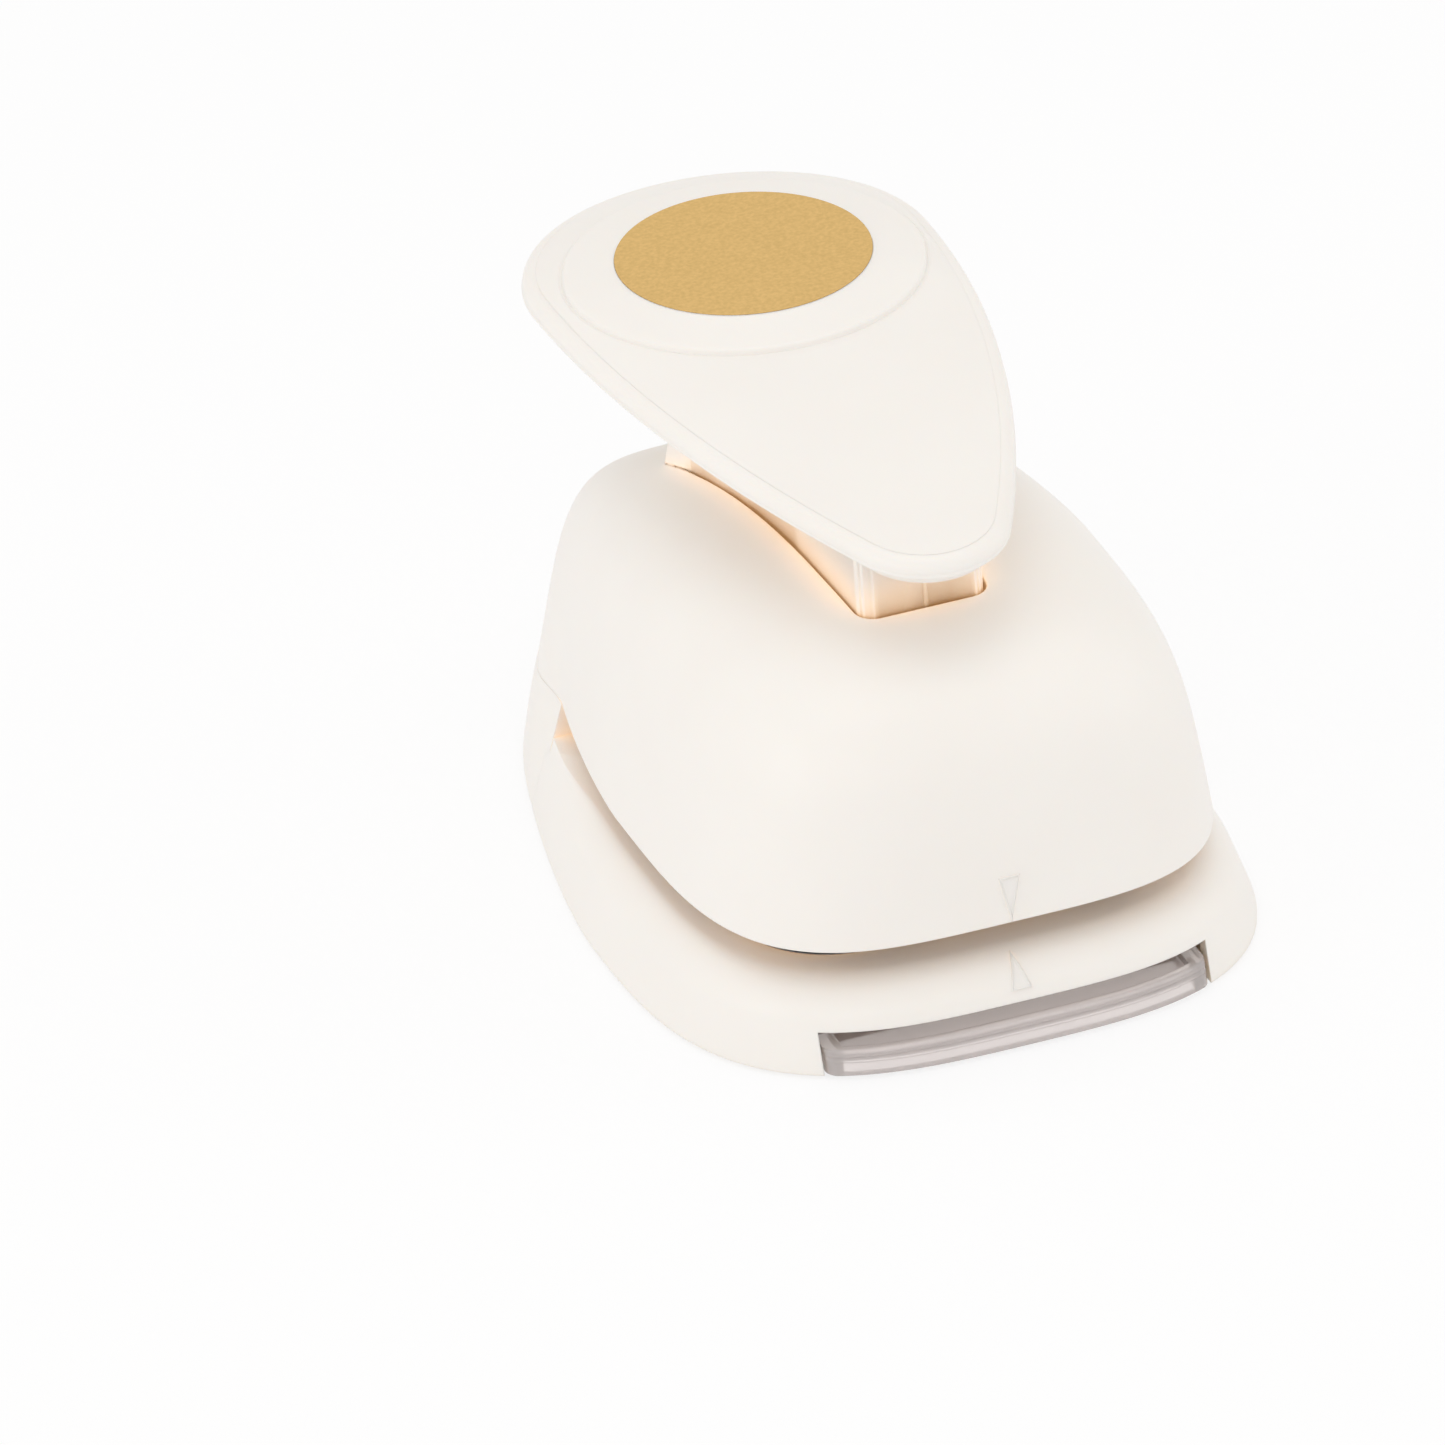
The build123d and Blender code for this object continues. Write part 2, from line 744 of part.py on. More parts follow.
for cutter in holes(posts, bracket_tip_z, guide_top_z + overrun, post_radius + fit_gap):
    guide_plate -= cutter
save("die_plate", die_plate)
save("throat_spacer", spacer)
save("guide_plate", guide_plate)
rivets = []
for x, y in both_sides(plate_rivets):
    shank = rod(x, y, rivet_low, guide_top_z, screw_radius)
    rivets.append(shank + rod(x, y, guide_top_z, guide_top_z + rivet_head_thick, head_radius))
save("plate_rivets", Compound(rivets))
save("die_screws", screws(die_screws, deck_under_z, True, screw_tip_z - deck_under_z))

# Pivot bracket, its screws, the pivot pin and its clips
ear_outer_x = ear_inner_x + ear_thick
bracket = block(
    (-ear_outer_x, ear_outer_x),
    (pivot_y - ear_half_depth, pivot_y - ear_half_depth + ear_thick),
    (guide_top_z, guide_top_z + web_height),
)
for side in (-1, 1):
    ear_x = sorted((side * ear_inner_x, side * ear_outer_x))
    ear = block(ear_x, (pivot_y - ear_half_depth, pivot_y + ear_half_depth), (guide_top_z, pivot_z))
    ear += cross_rod(pivot_y, pivot_z, *ear_x, ear_half_depth)
    foot_x = sorted((side * ear_inner_x, side * (ear_outer_x + foot_reach)))
    foot = block(
        foot_x,
        (pivot_y - ear_half_depth + foot_front_set, pivot_y + ear_half_depth),
        (guide_top_z, guide_top_z + ear_thick),
    )
    bracket += ear + foot
bracket -= cross_rod(pivot_y, pivot_z, -ear_outer_x - overrun, ear_outer_x + overrun, pin_radius + fit_gap)
for cutter in holes(bracket_screws, guide_top_z - overrun, guide_top_z + web_height, screw_radius + fit_gap):
    bracket -= cutter
save("pivot_bracket", bracket)
bracket_screw_length = ear_thick + post_seat - fit_gap
save("bracket_screws", screws(bracket_screws, guide_top_z + ear_thick, False, bracket_screw_length))
pin_half = ear_outer_x + clip_gap + clip_thick + pin_end
save("pivot_pin", cross_rod(pivot_y, pivot_z, -pin_half, pin_half, pin_radius))
clips = []
for side in (-1, 1):
    clip_x = sorted((side * (ear_outer_x + clip_gap), side * (ear_outer_x + clip_gap + clip_thick)))
    ring = cross_rod(pivot_y, pivot_z, *clip_x, pin_radius + clip_reach)
    clips.append(ring - cross_rod(pivot_y, pivot_z, *clip_x, pin_radius + fit_gap))
save("pivot_clips", Compound(clips))

# Guide posts, their stop rings and the return springs
post_top_z = holder_top_z + post_over
ring_low = holder_top_z + clip_gap
save("guide_posts", Compound(holes(posts, bracket_tip_z + fit_gap, post_top_z, post_radius)))
rings = []
for x, y in both_sides(posts):
    ring = rod(x, y, ring_low, ring_low + clip_thick, post_radius + clip_reach)
    rings.append(ring - rod(x, y, ring_low, ring_low + clip_thick, post_radius + fit_gap))
save("post_rings", Compound(rings))
spring_ends = (guide_top_z + spring_end_gap, holder_z - spring_end_gap)
save("return_spring_right", spring(post_x, punch_y, *spring_ends))
save("return_spring_left", spring(-post_x, punch_y, *spring_ends))

# Punch cutter, its holder, wear plate and screws
cutter = rod(0, punch_y, cutter_bottom_z, holder_z, punch_radius)
cutter -= rod(0, punch_y, cutter_bottom_z - overrun, holder_z - cutter_web, punch_radius - cutter_wall)
cutter_screw_places = []
for step in range(cutter_screw_count):
    angle = math.pi / 6 + 2 * math.pi * step / cutter_screw_count
    spot = (cutter_screw_circle * math.cos(angle), punch_y + cutter_screw_circle * math.sin(angle))
    cutter_screw_places.append(spot)
holder = rod(0, punch_y, holder_z, holder_top_z, punch_radius)
holder += block(
    (-post_x, post_x), (punch_y - holder_ear_radius, punch_y + holder_ear_radius), (holder_z, holder_top_z)
)
for x, y in both_sides(posts):
    holder += rod(x, y, holder_z, holder_top_z, holder_ear_radius)
    holder -= rod(x, y, holder_z - overrun, holder_top_z + overrun, post_radius + post_clearance)
tower_y = (punch_y - tower_half_depth, punch_y + tower_half_depth)
tower_x = (-tower_half_width, tower_half_width)
holder += block(tower_x, tower_y, (holder_top_z, wear_top_z - wear_thick))
cutter_screws = []
for x, y in cutter_screw_places:
    tip = holder_z - cutter_screw_bite
    cutter -= rod(x, y, tip - fit_gap, holder_z, screw_radius + fit_gap)
    holder -= rod(x, y, holder_z, holder_top_z, screw_radius + fit_gap)
    head = rod(x, y, holder_top_z, holder_top_z + head_thick, head_radius)
    cutter_screws.append(rod(x, y, tip, holder_top_z, screw_radius) + head)
save("punch_cutter", cutter)
save("punch_holder", holder)
save("cutter_screws", Compound(cutter_screws))
save("wear_plate", block(tower_x, tower_y, (wear_top_z - wear_thick, wear_top_z)))

# Lever: dish, stem and arms in one shell
dish = dish_form()
stem_reach = pad_rim_z + dish_depth - stem_bottom_z + overrun
under_pad = extrude(pad_face(dish_floor_inset, -dish_depth / 2), amount=-2 * stem_reach)
stem = extrude(slot_face(slot_gap, stem_long_y, stem_bottom_z), amount=stem_reach)
stem += block(
    (-stem_rib_half, stem_rib_half),
    (slot_front_y + slot_gap - stem_rib_proud, slot_front_y + slot_gap + stem_wall),
    (stem_bottom_z, stem_bottom_z + stem_reach),
)
sweep_room = cross_rod(pivot_y, pivot_z, -floor_half_width, floor_half_width, stem_rear_radius)
stem = stem & sweep_room & under_pad
hollow_face = slot_face(slot_gap + stem_wall, stem_long_y, stem_bottom_z - overrun)
hollow = extrude(hollow_face, amount=stem_reach + overrun)
inner_room = cross_rod(pivot_y, pivot_z, -floor_half_width, floor_half_width, stem_rear_radius - stem_wall)
inner_pad = extrude(pad_face(dish_floor_inset, -dish_depth), amount=-2 * stem_reach)
stem -= hollow & inner_room & inner_pad
arm_outer_x = slot_half_width - slot_gap
boss_x = ear_inner_x - ear_gap
arm_face = make_face(
    Polyline(
        (pivot_y, pivot_z + arm_hub_radius),
        (slot_front_y + slot_gap, arm_root_z),
        (arm_root_y, arm_root_z),
        (arm_root_y, arm_foot_z),
        (punch_y + arm_hub_radius, press_bar_z - arm_hub_radius),
        (pivot_y, pivot_z - arm_hub_radius),
        close=True,
    )
)
arm_face += Pos(pivot_y, pivot_z) * Circle(arm_hub_radius)
arm_face += Pos(punch_y, press_bar_z) * Circle(arm_hub_radius)
lever = dish - dish_form(pad_wall) + stem
for side in (-1, 1):
    arm_x = sorted((side * arm_outer_x, side * (arm_outer_x - arm_thick)))
    lever += extrude(Plane.YZ.offset(arm_x[0]) * arm_face, amount=arm_thick)
    hub_x = sorted((side * arm_outer_x, side * boss_x))
    lever += cross_rod(pivot_y, pivot_z, *hub_x, arm_boss_radius)
lever -= cross_rod(pivot_y, pivot_z, -boss_x - overrun, boss_x + overrun, pin_radius + pin_clearance)
lever -= cross_rod(punch_y, press_bar_z, -boss_x - overrun, boss_x + overrun, pin_radius + fit_gap)

# Lever: top cap with its plateau, screws and gold disc
cap = cap_form() - cap_form(pad_wall)
plateau = rod(0, plateau_centre_y, plateau_z - 2 * plateau_step, plateau_z, plateau_radius)
swell = Pos(0, plateau_centre_y, plateau_z + plateau_swell / 2) * Cone(
    plateau_radius, disc_radius + disc_border, plateau_swell
)
cap += plateau + swell
disc_room = rod(0, plateau_centre_y, disc_z - disc_sunk, disc_z + overrun, disc_radius + fit_gap)
cap -= disc_room
cap_screw_group = []
for x, y in both_sides(cap_screws):
    at = pad_plane(0).location * Pos(x, y, 0)
    boss = at * Pos(0, 0, plateau_rise / 2) * Cylinder(boss_radius, plateau_rise)
    cap += boss & cap_form()
    pilot = cap_rim_height - pad_wall / 2
    cap -= at * Pos(0, 0, pilot / 2) * Cylinder(screw_radius + fit_gap, pilot)
    lever += at * Pos(0, 0, -dish_depth / 2) * Cylinder(boss_radius, dish_depth)
    lever -= at * Pos(0, 0, -dish_depth / 2) * Cylinder(screw_radius + fit_gap, dish_depth + overrun)
    shank_length = dish_depth + pilot - fit_gap
    shank = at * Pos(0, 0, shank_length / 2 - dish_depth) * Cylinder(screw_radius, shank_length)
    head = at * Pos(0, 0, -dish_depth - rivet_head_thick / 2) * Cylinder(head_radius, rivet_head_thick)
    cap_screw_group.append(shank + head)
save("lever_shell", lever)
save("lever_cap", cap)
save("cap_screws", Compound(cap_screw_group))
disc_bottom_z = disc_z - disc_sunk
save("pad_disc", rod(0, plateau_centre_y, disc_bottom_z, disc_bottom_z + disc_thick, disc_radius))
bar = cross_rod(punch_y, press_bar_z, -arm_outer_x, arm_outer_x, pin_radius)
bar_half = arm_outer_x - arm_thick - fit_gap
bar += cross_rod(punch_y, press_bar_z, -bar_half, bar_half, press_bar_radius)
save("press_bar", bar)
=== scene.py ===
import bpy
import json
import math
from collections import namedtuple
import numpy as np
from mathutils import Matrix, Vector


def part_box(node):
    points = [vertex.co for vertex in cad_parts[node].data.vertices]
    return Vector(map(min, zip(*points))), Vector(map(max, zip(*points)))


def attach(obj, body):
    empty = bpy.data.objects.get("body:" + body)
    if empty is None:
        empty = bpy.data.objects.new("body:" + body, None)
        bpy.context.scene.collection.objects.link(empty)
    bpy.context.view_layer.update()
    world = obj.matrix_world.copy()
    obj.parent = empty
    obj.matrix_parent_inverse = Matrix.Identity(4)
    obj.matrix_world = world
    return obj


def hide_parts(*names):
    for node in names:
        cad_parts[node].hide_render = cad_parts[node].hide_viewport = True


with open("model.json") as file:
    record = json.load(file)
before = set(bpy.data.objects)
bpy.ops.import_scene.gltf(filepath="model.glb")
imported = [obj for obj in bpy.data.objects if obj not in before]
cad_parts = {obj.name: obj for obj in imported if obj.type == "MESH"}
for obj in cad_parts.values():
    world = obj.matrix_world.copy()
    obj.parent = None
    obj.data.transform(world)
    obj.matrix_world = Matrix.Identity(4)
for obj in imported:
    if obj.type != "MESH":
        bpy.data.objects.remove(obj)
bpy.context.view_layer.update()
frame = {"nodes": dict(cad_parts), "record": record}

# Lengths are in millimetres, in the part's own places: X right, Y back from the lip's middle, Z up
MM = 0.001
PLATE_FRONT_Y = -44.0
SHIFT_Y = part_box("die_plate")[0].y / MM - PLATE_FRONT_Y

# Plan outlines of the body
Outline = namedtuple("Outline", "half front rear middle front_power rear_power taper")
FLOOR = Outline(half=52.2, front=61.0, rear=82.9, middle=0.0, front_power=3.1, rear_power=8.0, taper=0.31)
LIP = Outline(half=45.2, front=59.5, rear=75.4, middle=3.5, front_power=3.65, rear_power=5.4, taper=0.285)
DECK = Outline(half=43.6, front=54.5, rear=76.9, middle=3.5, front_power=3.4, rear_power=7.0, taper=0.12)
TAPER_POWER = 1.5
WALL = 2.4

# Levels of the body
BASE_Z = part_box("base_shell")[0].z / MM
SHOULDER_Z = 9.0
DECK_Z = 14.5
DECK_UNDER_Z = 10.3
LIP_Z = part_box("housing")[0].z / MM
THROAT_END_Y = 43.5

# Dome form
DOME_HEIGHT = 42.45
SIDE_DRAFT, FRONT_DRAFT, REAR_DRAFT = 0.13, 0.008, 0.005
SIDE_POWER, DOME_FRONT_POWER, DOME_REAR_POWER = 4.75, 4.4, 2.65
REAR_SQUARING = 2.4
TOP_SHARE = 0.9
FLARE, FLARE_RUN, FLARE_TOP_Z = 0.08, 14.0, 48.0

# Slot in the dome, and the sides of the lever's stem as the solid has them: bend, middle and rear
SLOT_FRONT_Y, SLOT_HALF = -24.8, 11.2
SLOT_SIDE = ((12.0, -2.0), (13.6, 16.0), (19.25, 44.75))
STEM_SIDE = ((11.2, 2.0), (14.1, 19.0), (21.6, 38.5))
SLOT_CORNER = 3.5
SLOT_CENTRE_Y = 6.0

# Fineness of the meshes, and how far a cutter runs past what it cuts
AROUND = 384
SLOT_SIDE_STEPS, SLOT_CORNER_STEPS = 24, 8
HALVINGS = 40
OVER = 3.0


# Mesh helpers

def place(x, y, z):
    """A point of the part in Blender's frame."""
    return (x * MM, (y + SHIFT_Y) * MM, z * MM)


def mesh_piece(name, points, faces, material, body, slot, smooth=True):
    """A mesh object that rides on a body."""
    mesh = bpy.data.meshes.new(name)
    mesh.from_pydata([place(*point) for point in points], [], faces)
    mesh.validate()
    mesh.update()
    piece = bpy.data.objects.new(name, mesh)
    bpy.context.scene.collection.objects.link(piece)
    if material:
        mesh.materials.append(material)
    if smooth:
        mesh.shade_smooth()
    if body:
        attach(piece, body)
    return piece


def copied_node(name, node, body):
    """A piece that starts from a copy of a solid's mesh."""
    piece = bpy.data.objects.new(name, frame["nodes"][node].data.copy())
    bpy.context.scene.collection.objects.link(piece)
    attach(piece, body)
    return piece


def skin(rings, loop=True, closed=False, first_pole=None, last_pole=None):
    """Points and faces of a skin over rings that have equal counts."""
    points, faces = [], []
    count = len(rings[0])
    for ring in rings:
        points += [tuple(point) for point in ring]
    spans = count if loop else count - 1
    rows = len(rings) if closed else len(rings) - 1
    for row in range(rows):
        low, high = row * count, (row + 1) % len(rings) * count
        for spot in range(spans):
            after = (spot + 1) % count
            faces.append((low + spot, low + after, high + after, high + spot))
    if first_pole is not None:
        points.append(first_pole)
        pole = len(points) - 1
        faces += [(pole, (spot + 1) % count, spot) for spot in range(count)]
    if last_pole is not None:
        points.append(last_pole)
        pole = len(points) - 1
        base = (len(rings) - 1) * count
        faces += [(pole, base + spot, base + (spot + 1) % count) for spot in range(count)]
    return points, faces


def box_faces(low, high):
    """Points and faces of a box used as a cutter."""
    xs, ys, zs = zip(low, high)
    points = [(x, y, z) for z in zs for y in ys for x in xs]
    return points, [(0, 2, 3, 1), (4, 5, 7, 6), (0, 1, 5, 4), (2, 6, 7, 3), (0, 4, 6, 2), (1, 3, 7, 5)]


def prism(outline, low, high):
    """Points and faces of an upright prism used as a cutter."""
    count = len(outline)
    points = [(x, y, low) for x, y in outline] + [(x, y, high) for x, y in outline]
    faces = [tuple(reversed(range(count))), tuple(range(count, 2 * count))]
    for spot in range(count):
        after = (spot + 1) % count
        faces.append((spot, after, count + after, count + spot))
    return points, faces


def cut(piece, cutters, operation="DIFFERENCE"):
    """Subtracts or adds closed meshes and applies the result."""
    for index, (points, faces) in enumerate(cutters):
        tool = mesh_piece(f"cutter_{index}", points, faces, None, None, None, smooth=False)
        step = piece.modifiers.new("cut", "BOOLEAN")
        step.operation, step.solver, step.object = operation, "EXACT", tool
        graph = bpy.context.evaluated_depsgraph_get()
        result = bpy.data.meshes.new_from_object(piece.evaluated_get(graph))
        piece.modifiers.remove(step)
        old = piece.data
        piece.data = result
        bpy.data.meshes.remove(old)
        bpy.data.objects.remove(tool)
    piece.data.shade_smooth()


def sharp_edges(piece, degrees=32):
    """Smooth shading that keeps edges above an angle."""
    piece.data.set_sharp_from_angle(angle=math.radians(degrees))


# Outlines

def turns(count=AROUND):
    """Even angles round a piece, from its rear middle."""
    return [2 * math.pi * (step + 0.5) / count + math.pi / 2 for step in range(count)]


def quarter_turns(steps):
    """Even angles of a quarter turn, with both ends."""
    return [math.pi / 2 * step / steps for step in range(steps + 1)]


def outline_point(outline, angle):
    """Point of a superellipse whose sides taper towards the rear."""
    across, along = math.cos(angle), math.sin(angle)
    reach, power = (outline.front, outline.front_power) if along < 0 else (outline.rear, outline.rear_power)
    radius = (abs(across / outline.half) ** power + abs(along / reach) ** power) ** (-1 / power)
    x, y = radius * across, radius * along
    if y > 0:
        x *= 1 - outline.taper * (y / outline.rear) ** TAPER_POWER
    return x, outline.middle + y


def outline_ring(outline, z, angles):
    """Ring of points on an outline."""
    return [(*outline_point(outline, angle), z) for angle in angles]


def front_y_of(outline, x):
    """Where an outline's front runs at one place across."""
    share = 1 - abs(x / outline.half) ** outline.front_power
    return outline.middle - outline.front * share ** (1 / outline.front_power)


def mixed(low, high, share):
    """Outline between two others."""
    return Outline(*[a + (b - a) * share for a, b in zip(low, high)])


def eased(value):
    """Smooth share between zero and one."""
    held = min(max(value, 0), 1)
    return held * held * (3 - 2 * held)


def drawn_in(outline, wall):
    """Outline moved inwards by a wall."""
    return outline._replace(half=outline.half - wall, front=outline.front - wall, rear=outline.rear - wall)


def wall_outline(z, wall=0.0):
    """Outline of the flared body wall at one height."""
    return drawn_in(mixed(FLOOR, LIP, (z - BASE_Z) / (LIP_Z - BASE_Z)), wall)


def dome_outline(share, wall=0.0):
    """Outline of the dome at a share of its height."""
    start = drawn_in(LIP, wall)
    over = [(1 - share**power) ** (1 / power) for power in (SIDE_POWER, DOME_FRONT_POWER, DOME_REAR_POWER)]
    return start._replace(
        rear_power=start.rear_power + REAR_SQUARING * share,
        half=start.half * (1 - SIDE_DRAFT * share) * over[0],
        front=start.front * (1 - FRONT_DRAFT * share) * over[1],
        rear=start.rear * (1 - REAR_DRAFT * share) * over[2],
    )


def dome_z(share, wall=0.0):
    """Height of a share of the dome."""
    return LIP_Z + (DOME_HEIGHT - wall) * share


def dome_height_at(x, y, wall=0.0):
    """Height of the dome over points, found by halving the share's range."""
    x, along = np.abs(np.asarray(x, float)), np.asarray(y, float) - LIP.middle
    low, high = np.zeros_like(x), np.full_like(x, 1 - 1e-9)
    for _ in range(HALVINGS):
        share = (low + high) / 2
        dome = dome_outline(share, wall)
        pinch = 1 - dome.taper * np.clip(along / dome.rear, 0, 1) ** TAPER_POWER
        rear_sum = (x / (dome.half * pinch)) ** dome.rear_power + np.abs(along / dome.rear) ** dome.rear_power
        front_sum = (x / dome.half) ** dome.front_power + np.abs(along / dome.front) ** dome.front_power
        outside = np.where(along > 0, rear_sum, front_sum) > 1
        high = np.where(outside, share, high)
        low = np.where(outside, low, share)
    return dome_z((low + high) / 2, wall)


def flared(ring):
    """Swells the wall behind the throat, where it runs on from the housing into the body."""
    moved = []
    for x, y, z in ring:
        over = min(max((FLARE_TOP_Z - z) / (FLARE_TOP_Z - LIP_Z), 0), 1) ** 2
        under = min(max((z - BASE_Z) / (LIP_Z - BASE_Z), 0), 1)
        swell = FLARE * (over if z > LIP_Z else under)
        moved.append((x * (1 + swell * eased((y - THROAT_END_Y) / FLARE_RUN)), y, z))
    return moved


def arc_through(first, middle, last, count):
    """Points on the circle through three points."""
    (ax, ay), (bx, by), (cx, cy) = first, middle, last
    a_square, b_square, c_square = ax**2 + ay**2, bx**2 + by**2, cx**2 + cy**2
    spread = 2 * (ax * (by - cy) + bx * (cy - ay) + cx * (ay - by))
    centre_x = (a_square * (by - cy) + b_square * (cy - ay) + c_square * (ay - by)) / spread
    centre_y = (a_square * (cx - bx) + b_square * (ax - cx) + c_square * (bx - ax)) / spread
    radius = math.hypot(ax - centre_x, ay - centre_y)
    start, end = math.atan2(ay - centre_y, ax - centre_x), math.atan2(cy - centre_y, cx - centre_x)
    if end - start > math.pi:
        end -= 2 * math.pi
    if start - end > math.pi:
        end += 2 * math.pi
    made = []
    for step in range(count + 1):
        angle = start + (end - start) * step / count
        made.append((centre_x + radius * math.cos(angle), centre_y + radius * math.sin(angle)))
    return made


def front_corner(half, front, corner, steps):
    """Points round the right front corner of an outline."""
    made = []
    for turn in quarter_turns(steps):
        across, along = math.sin(turn), -math.cos(turn)
        made.append((half - corner + corner * across, front + corner + corner * along))
    return made


def slot_outline():
    """Closed outline of the slot."""
    right = [(0, SLOT_FRONT_Y)] + front_corner(SLOT_HALF, SLOT_FRONT_Y, SLOT_CORNER, SLOT_CORNER_STEPS)
    right += arc_through(*SLOT_SIDE, SLOT_SIDE_STEPS)
    right.append((0, SLOT_SIDE[-1][1]))
    return right + [(-x, y) for x, y in reversed(right[1:-1])]


def ray_ring(outline, centre_y, angles):
    """Where rays from a centre meet a closed outline."""
    start = np.array(outline, float) - (0, centre_y)
    end = np.roll(start, -1, axis=0)
    found = []
    for angle in angles:
        way = np.array((math.cos(angle), math.sin(angle)))
        side = np.array((-way[1], way[0]))
        a, b = start @ side, end @ side
        crossing = (a * b <= 0) & (a != b)
        share = a[crossing] / (a[crossing] - b[crossing])
        reach = (start[crossing] + (end - start)[crossing] * share[:, None]) @ way
        found.append(way * reach.max() + (0, centre_y))
    return np.array(found)


# Materials: texture scales are in marks per metre, and their depths and reaches in metres

MOTTLE_SCALE, MOTTLE_DETAIL = 38.0, 3.0
GRAIN_SCALE, GRAIN_DETAIL, GRAIN_STRENGTH = 5200.0, 2.0, 0.12
METAL_DETAIL, METAL_STRENGTH = 4.0, 0.15
FINE_RELIEF = 0.00003
PLASTIC_EDGE, METAL_EDGE, EDGE_SAMPLES = 0.0003, 0.0002, 6
PLASTIC_SPREAD, METAL_SPREAD = 0.04, 0.06
PLASTIC_IOR, SCATTER_WEIGHT, SCATTER_REACH = 1.46, 0.15, (0.0016, 0.0012, 0.0009)
# Ambient occlusion over this reach finds the folds where a warm shade and a glow are painted
FOLD_REACH, FOLD_DEEP, FOLD_OPEN, FOLD_SAMPLES = 0.010, 0.1, 0.62, 8
# Heights over which the painted glow fades in above the foot
PAINTED_GLOW_START_Z, PAINTED_GLOW_FULL_Z = 0.010, 0.0135
CLEAR_SCALE, CLEAR_STRENGTH, CLEAR_RELIEF, CLEAR_SPREAD = 60.0, 0.05, 0.0001, 0.05
CLEAR_LIGHTER, CLEAR_SHARE, CLEAR_IOR = 1.03, 0.6, 1.49

# Painted glow in the plastic's folds: emission colour by how open a spot lies
PAINTED_GLOW_STEPS = (
    (0.0, (0, 0, 0, 1)), (0.1, (0.05, 0.025, 0.008, 1)), (0.3, (0.17, 0.085, 0.03, 1)),
    (0.5, (0.31, 0.165, 0.068, 1)), (0.65, (0.14, 0.085, 0.045, 1)), (0.78, (0.03, 0.022, 0.015, 1)),
    (0.9, (0, 0, 0, 1)),
)


def material(name):
    """An empty node material with its main shader."""
    made = bpy.data.materials.new(name)
    made.use_nodes = True
    return made, made.node_tree, made.node_tree.nodes["Principled BSDF"]


def textured(tree, scale, detail=MOTTLE_DETAIL):
    """Noise over object coordinates."""
    where = tree.nodes.new("ShaderNodeTexCoord")
    noise = tree.nodes.new("ShaderNodeTexNoise")
    noise.inputs["Scale"].default_value = scale
    noise.inputs["Detail"].default_value = detail
    tree.links.new(where.outputs["Object"], noise.inputs["Vector"])
    return noise


def ramp(tree, source, low, high, start=0.3, end=0.7):
    """Colour ramp between two tones."""
    made = tree.nodes.new("ShaderNodeValToRGB")
    made.color_ramp.elements[0].position, made.color_ramp.elements[1].position = start, end
    made.color_ramp.elements[0].color, made.color_ramp.elements[1].color = low, high
    tree.links.new(source, made.inputs["Fac"])
    return made


def roughened(tree, shader, source, low, high):
    """Roughness between two values, led by a texture."""
    spread = tree.nodes.new("ShaderNodeMapRange")
    spread.inputs["To Min"].default_value = low
    spread.inputs["To Max"].default_value = high
    tree.links.new(source, spread.inputs["Value"])
    tree.links.new(spread.outputs["Result"], shader.inputs["Roughness"])


def bumped(tree, shader, source, strength, distance, edge):
    """Fine relief, over edges rounded by a radius."""
    bump = tree.nodes.new("ShaderNodeBump")
    bump.inputs["Strength"].default_value = strength
    bump.inputs["Distance"].default_value = distance
    tree.links.new(source, bump.inputs["Height"])
    bevel = tree.nodes.new("ShaderNodeBevel")
    bevel.samples = EDGE_SAMPLES
    bevel.inputs["Radius"].default_value = edge
    tree.links.new(bevel.outputs["Normal"], bump.inputs["Normal"])
    tree.links.new(bump.outputs["Normal"], shader.inputs["Normal"])


def paint_fold_shade_and_glow(tree, shader, tone, fold_shade_tone):
    """Paints a warm shade into a tone where a spot lies in a fold, and paints a glow there as emission, both
    led by ambient occlusion.
    """
    openness = tree.nodes.new("ShaderNodeAmbientOcclusion")
    openness.samples = FOLD_SAMPLES
    openness.inputs["Distance"].default_value = FOLD_REACH
    depth = tree.nodes.new("ShaderNodeMapRange")
    depth.inputs["From Min"].default_value = FOLD_DEEP
    depth.inputs["From Max"].default_value = FOLD_OPEN
    blend = tree.nodes.new("ShaderNodeMix")
    blend.data_type = "RGBA"
    # Painted shade: the warm tone takes the place of the plastic's own tone where a fold is deep
    blend.inputs["A"].default_value = fold_shade_tone
    tree.links.new(openness.outputs["AO"], depth.inputs["Value"])
    tree.links.new(depth.outputs["Result"], blend.inputs["Factor"])
    tree.links.new(tone, blend.inputs["B"])
    # Painted glow: emission lights the folds, brightest where they are half open
    painted_glow_ramp = tree.nodes.new("ShaderNodeValToRGB")
    steps = painted_glow_ramp.color_ramp.elements
    steps[0].position, steps[0].color = PAINTED_GLOW_STEPS[0]
    steps[1].position, steps[1].color = PAINTED_GLOW_STEPS[-1]
    for position, colour in PAINTED_GLOW_STEPS[1:-1]:
        steps.new(position).color = colour
    tree.links.new(openness.outputs["AO"], painted_glow_ramp.inputs["Fac"])
    tree.links.new(painted_glow_ramp.outputs["Color"], shader.inputs["Emission Color"])
    painted_glow_above_foot(tree, shader)
    return blend.outputs["Result"]


def painted_glow_above_foot(tree, shader):
    """Keeps the painted glow off the foot of the body."""
    where = tree.nodes.new("ShaderNodeTexCoord")
    parts = tree.nodes.new("ShaderNodeSeparateXYZ")
    above = tree.nodes.new("ShaderNodeMapRange")
    above.inputs["From Min"].default_value = PAINTED_GLOW_START_Z
    above.inputs["From Max"].default_value = PAINTED_GLOW_FULL_Z
    tree.links.new(where.outputs["Object"], parts.inputs["Vector"])
    tree.links.new(parts.outputs["Z"], above.inputs["Value"])
    tree.links.new(above.outputs["Result"], shader.inputs["Emission Strength"])


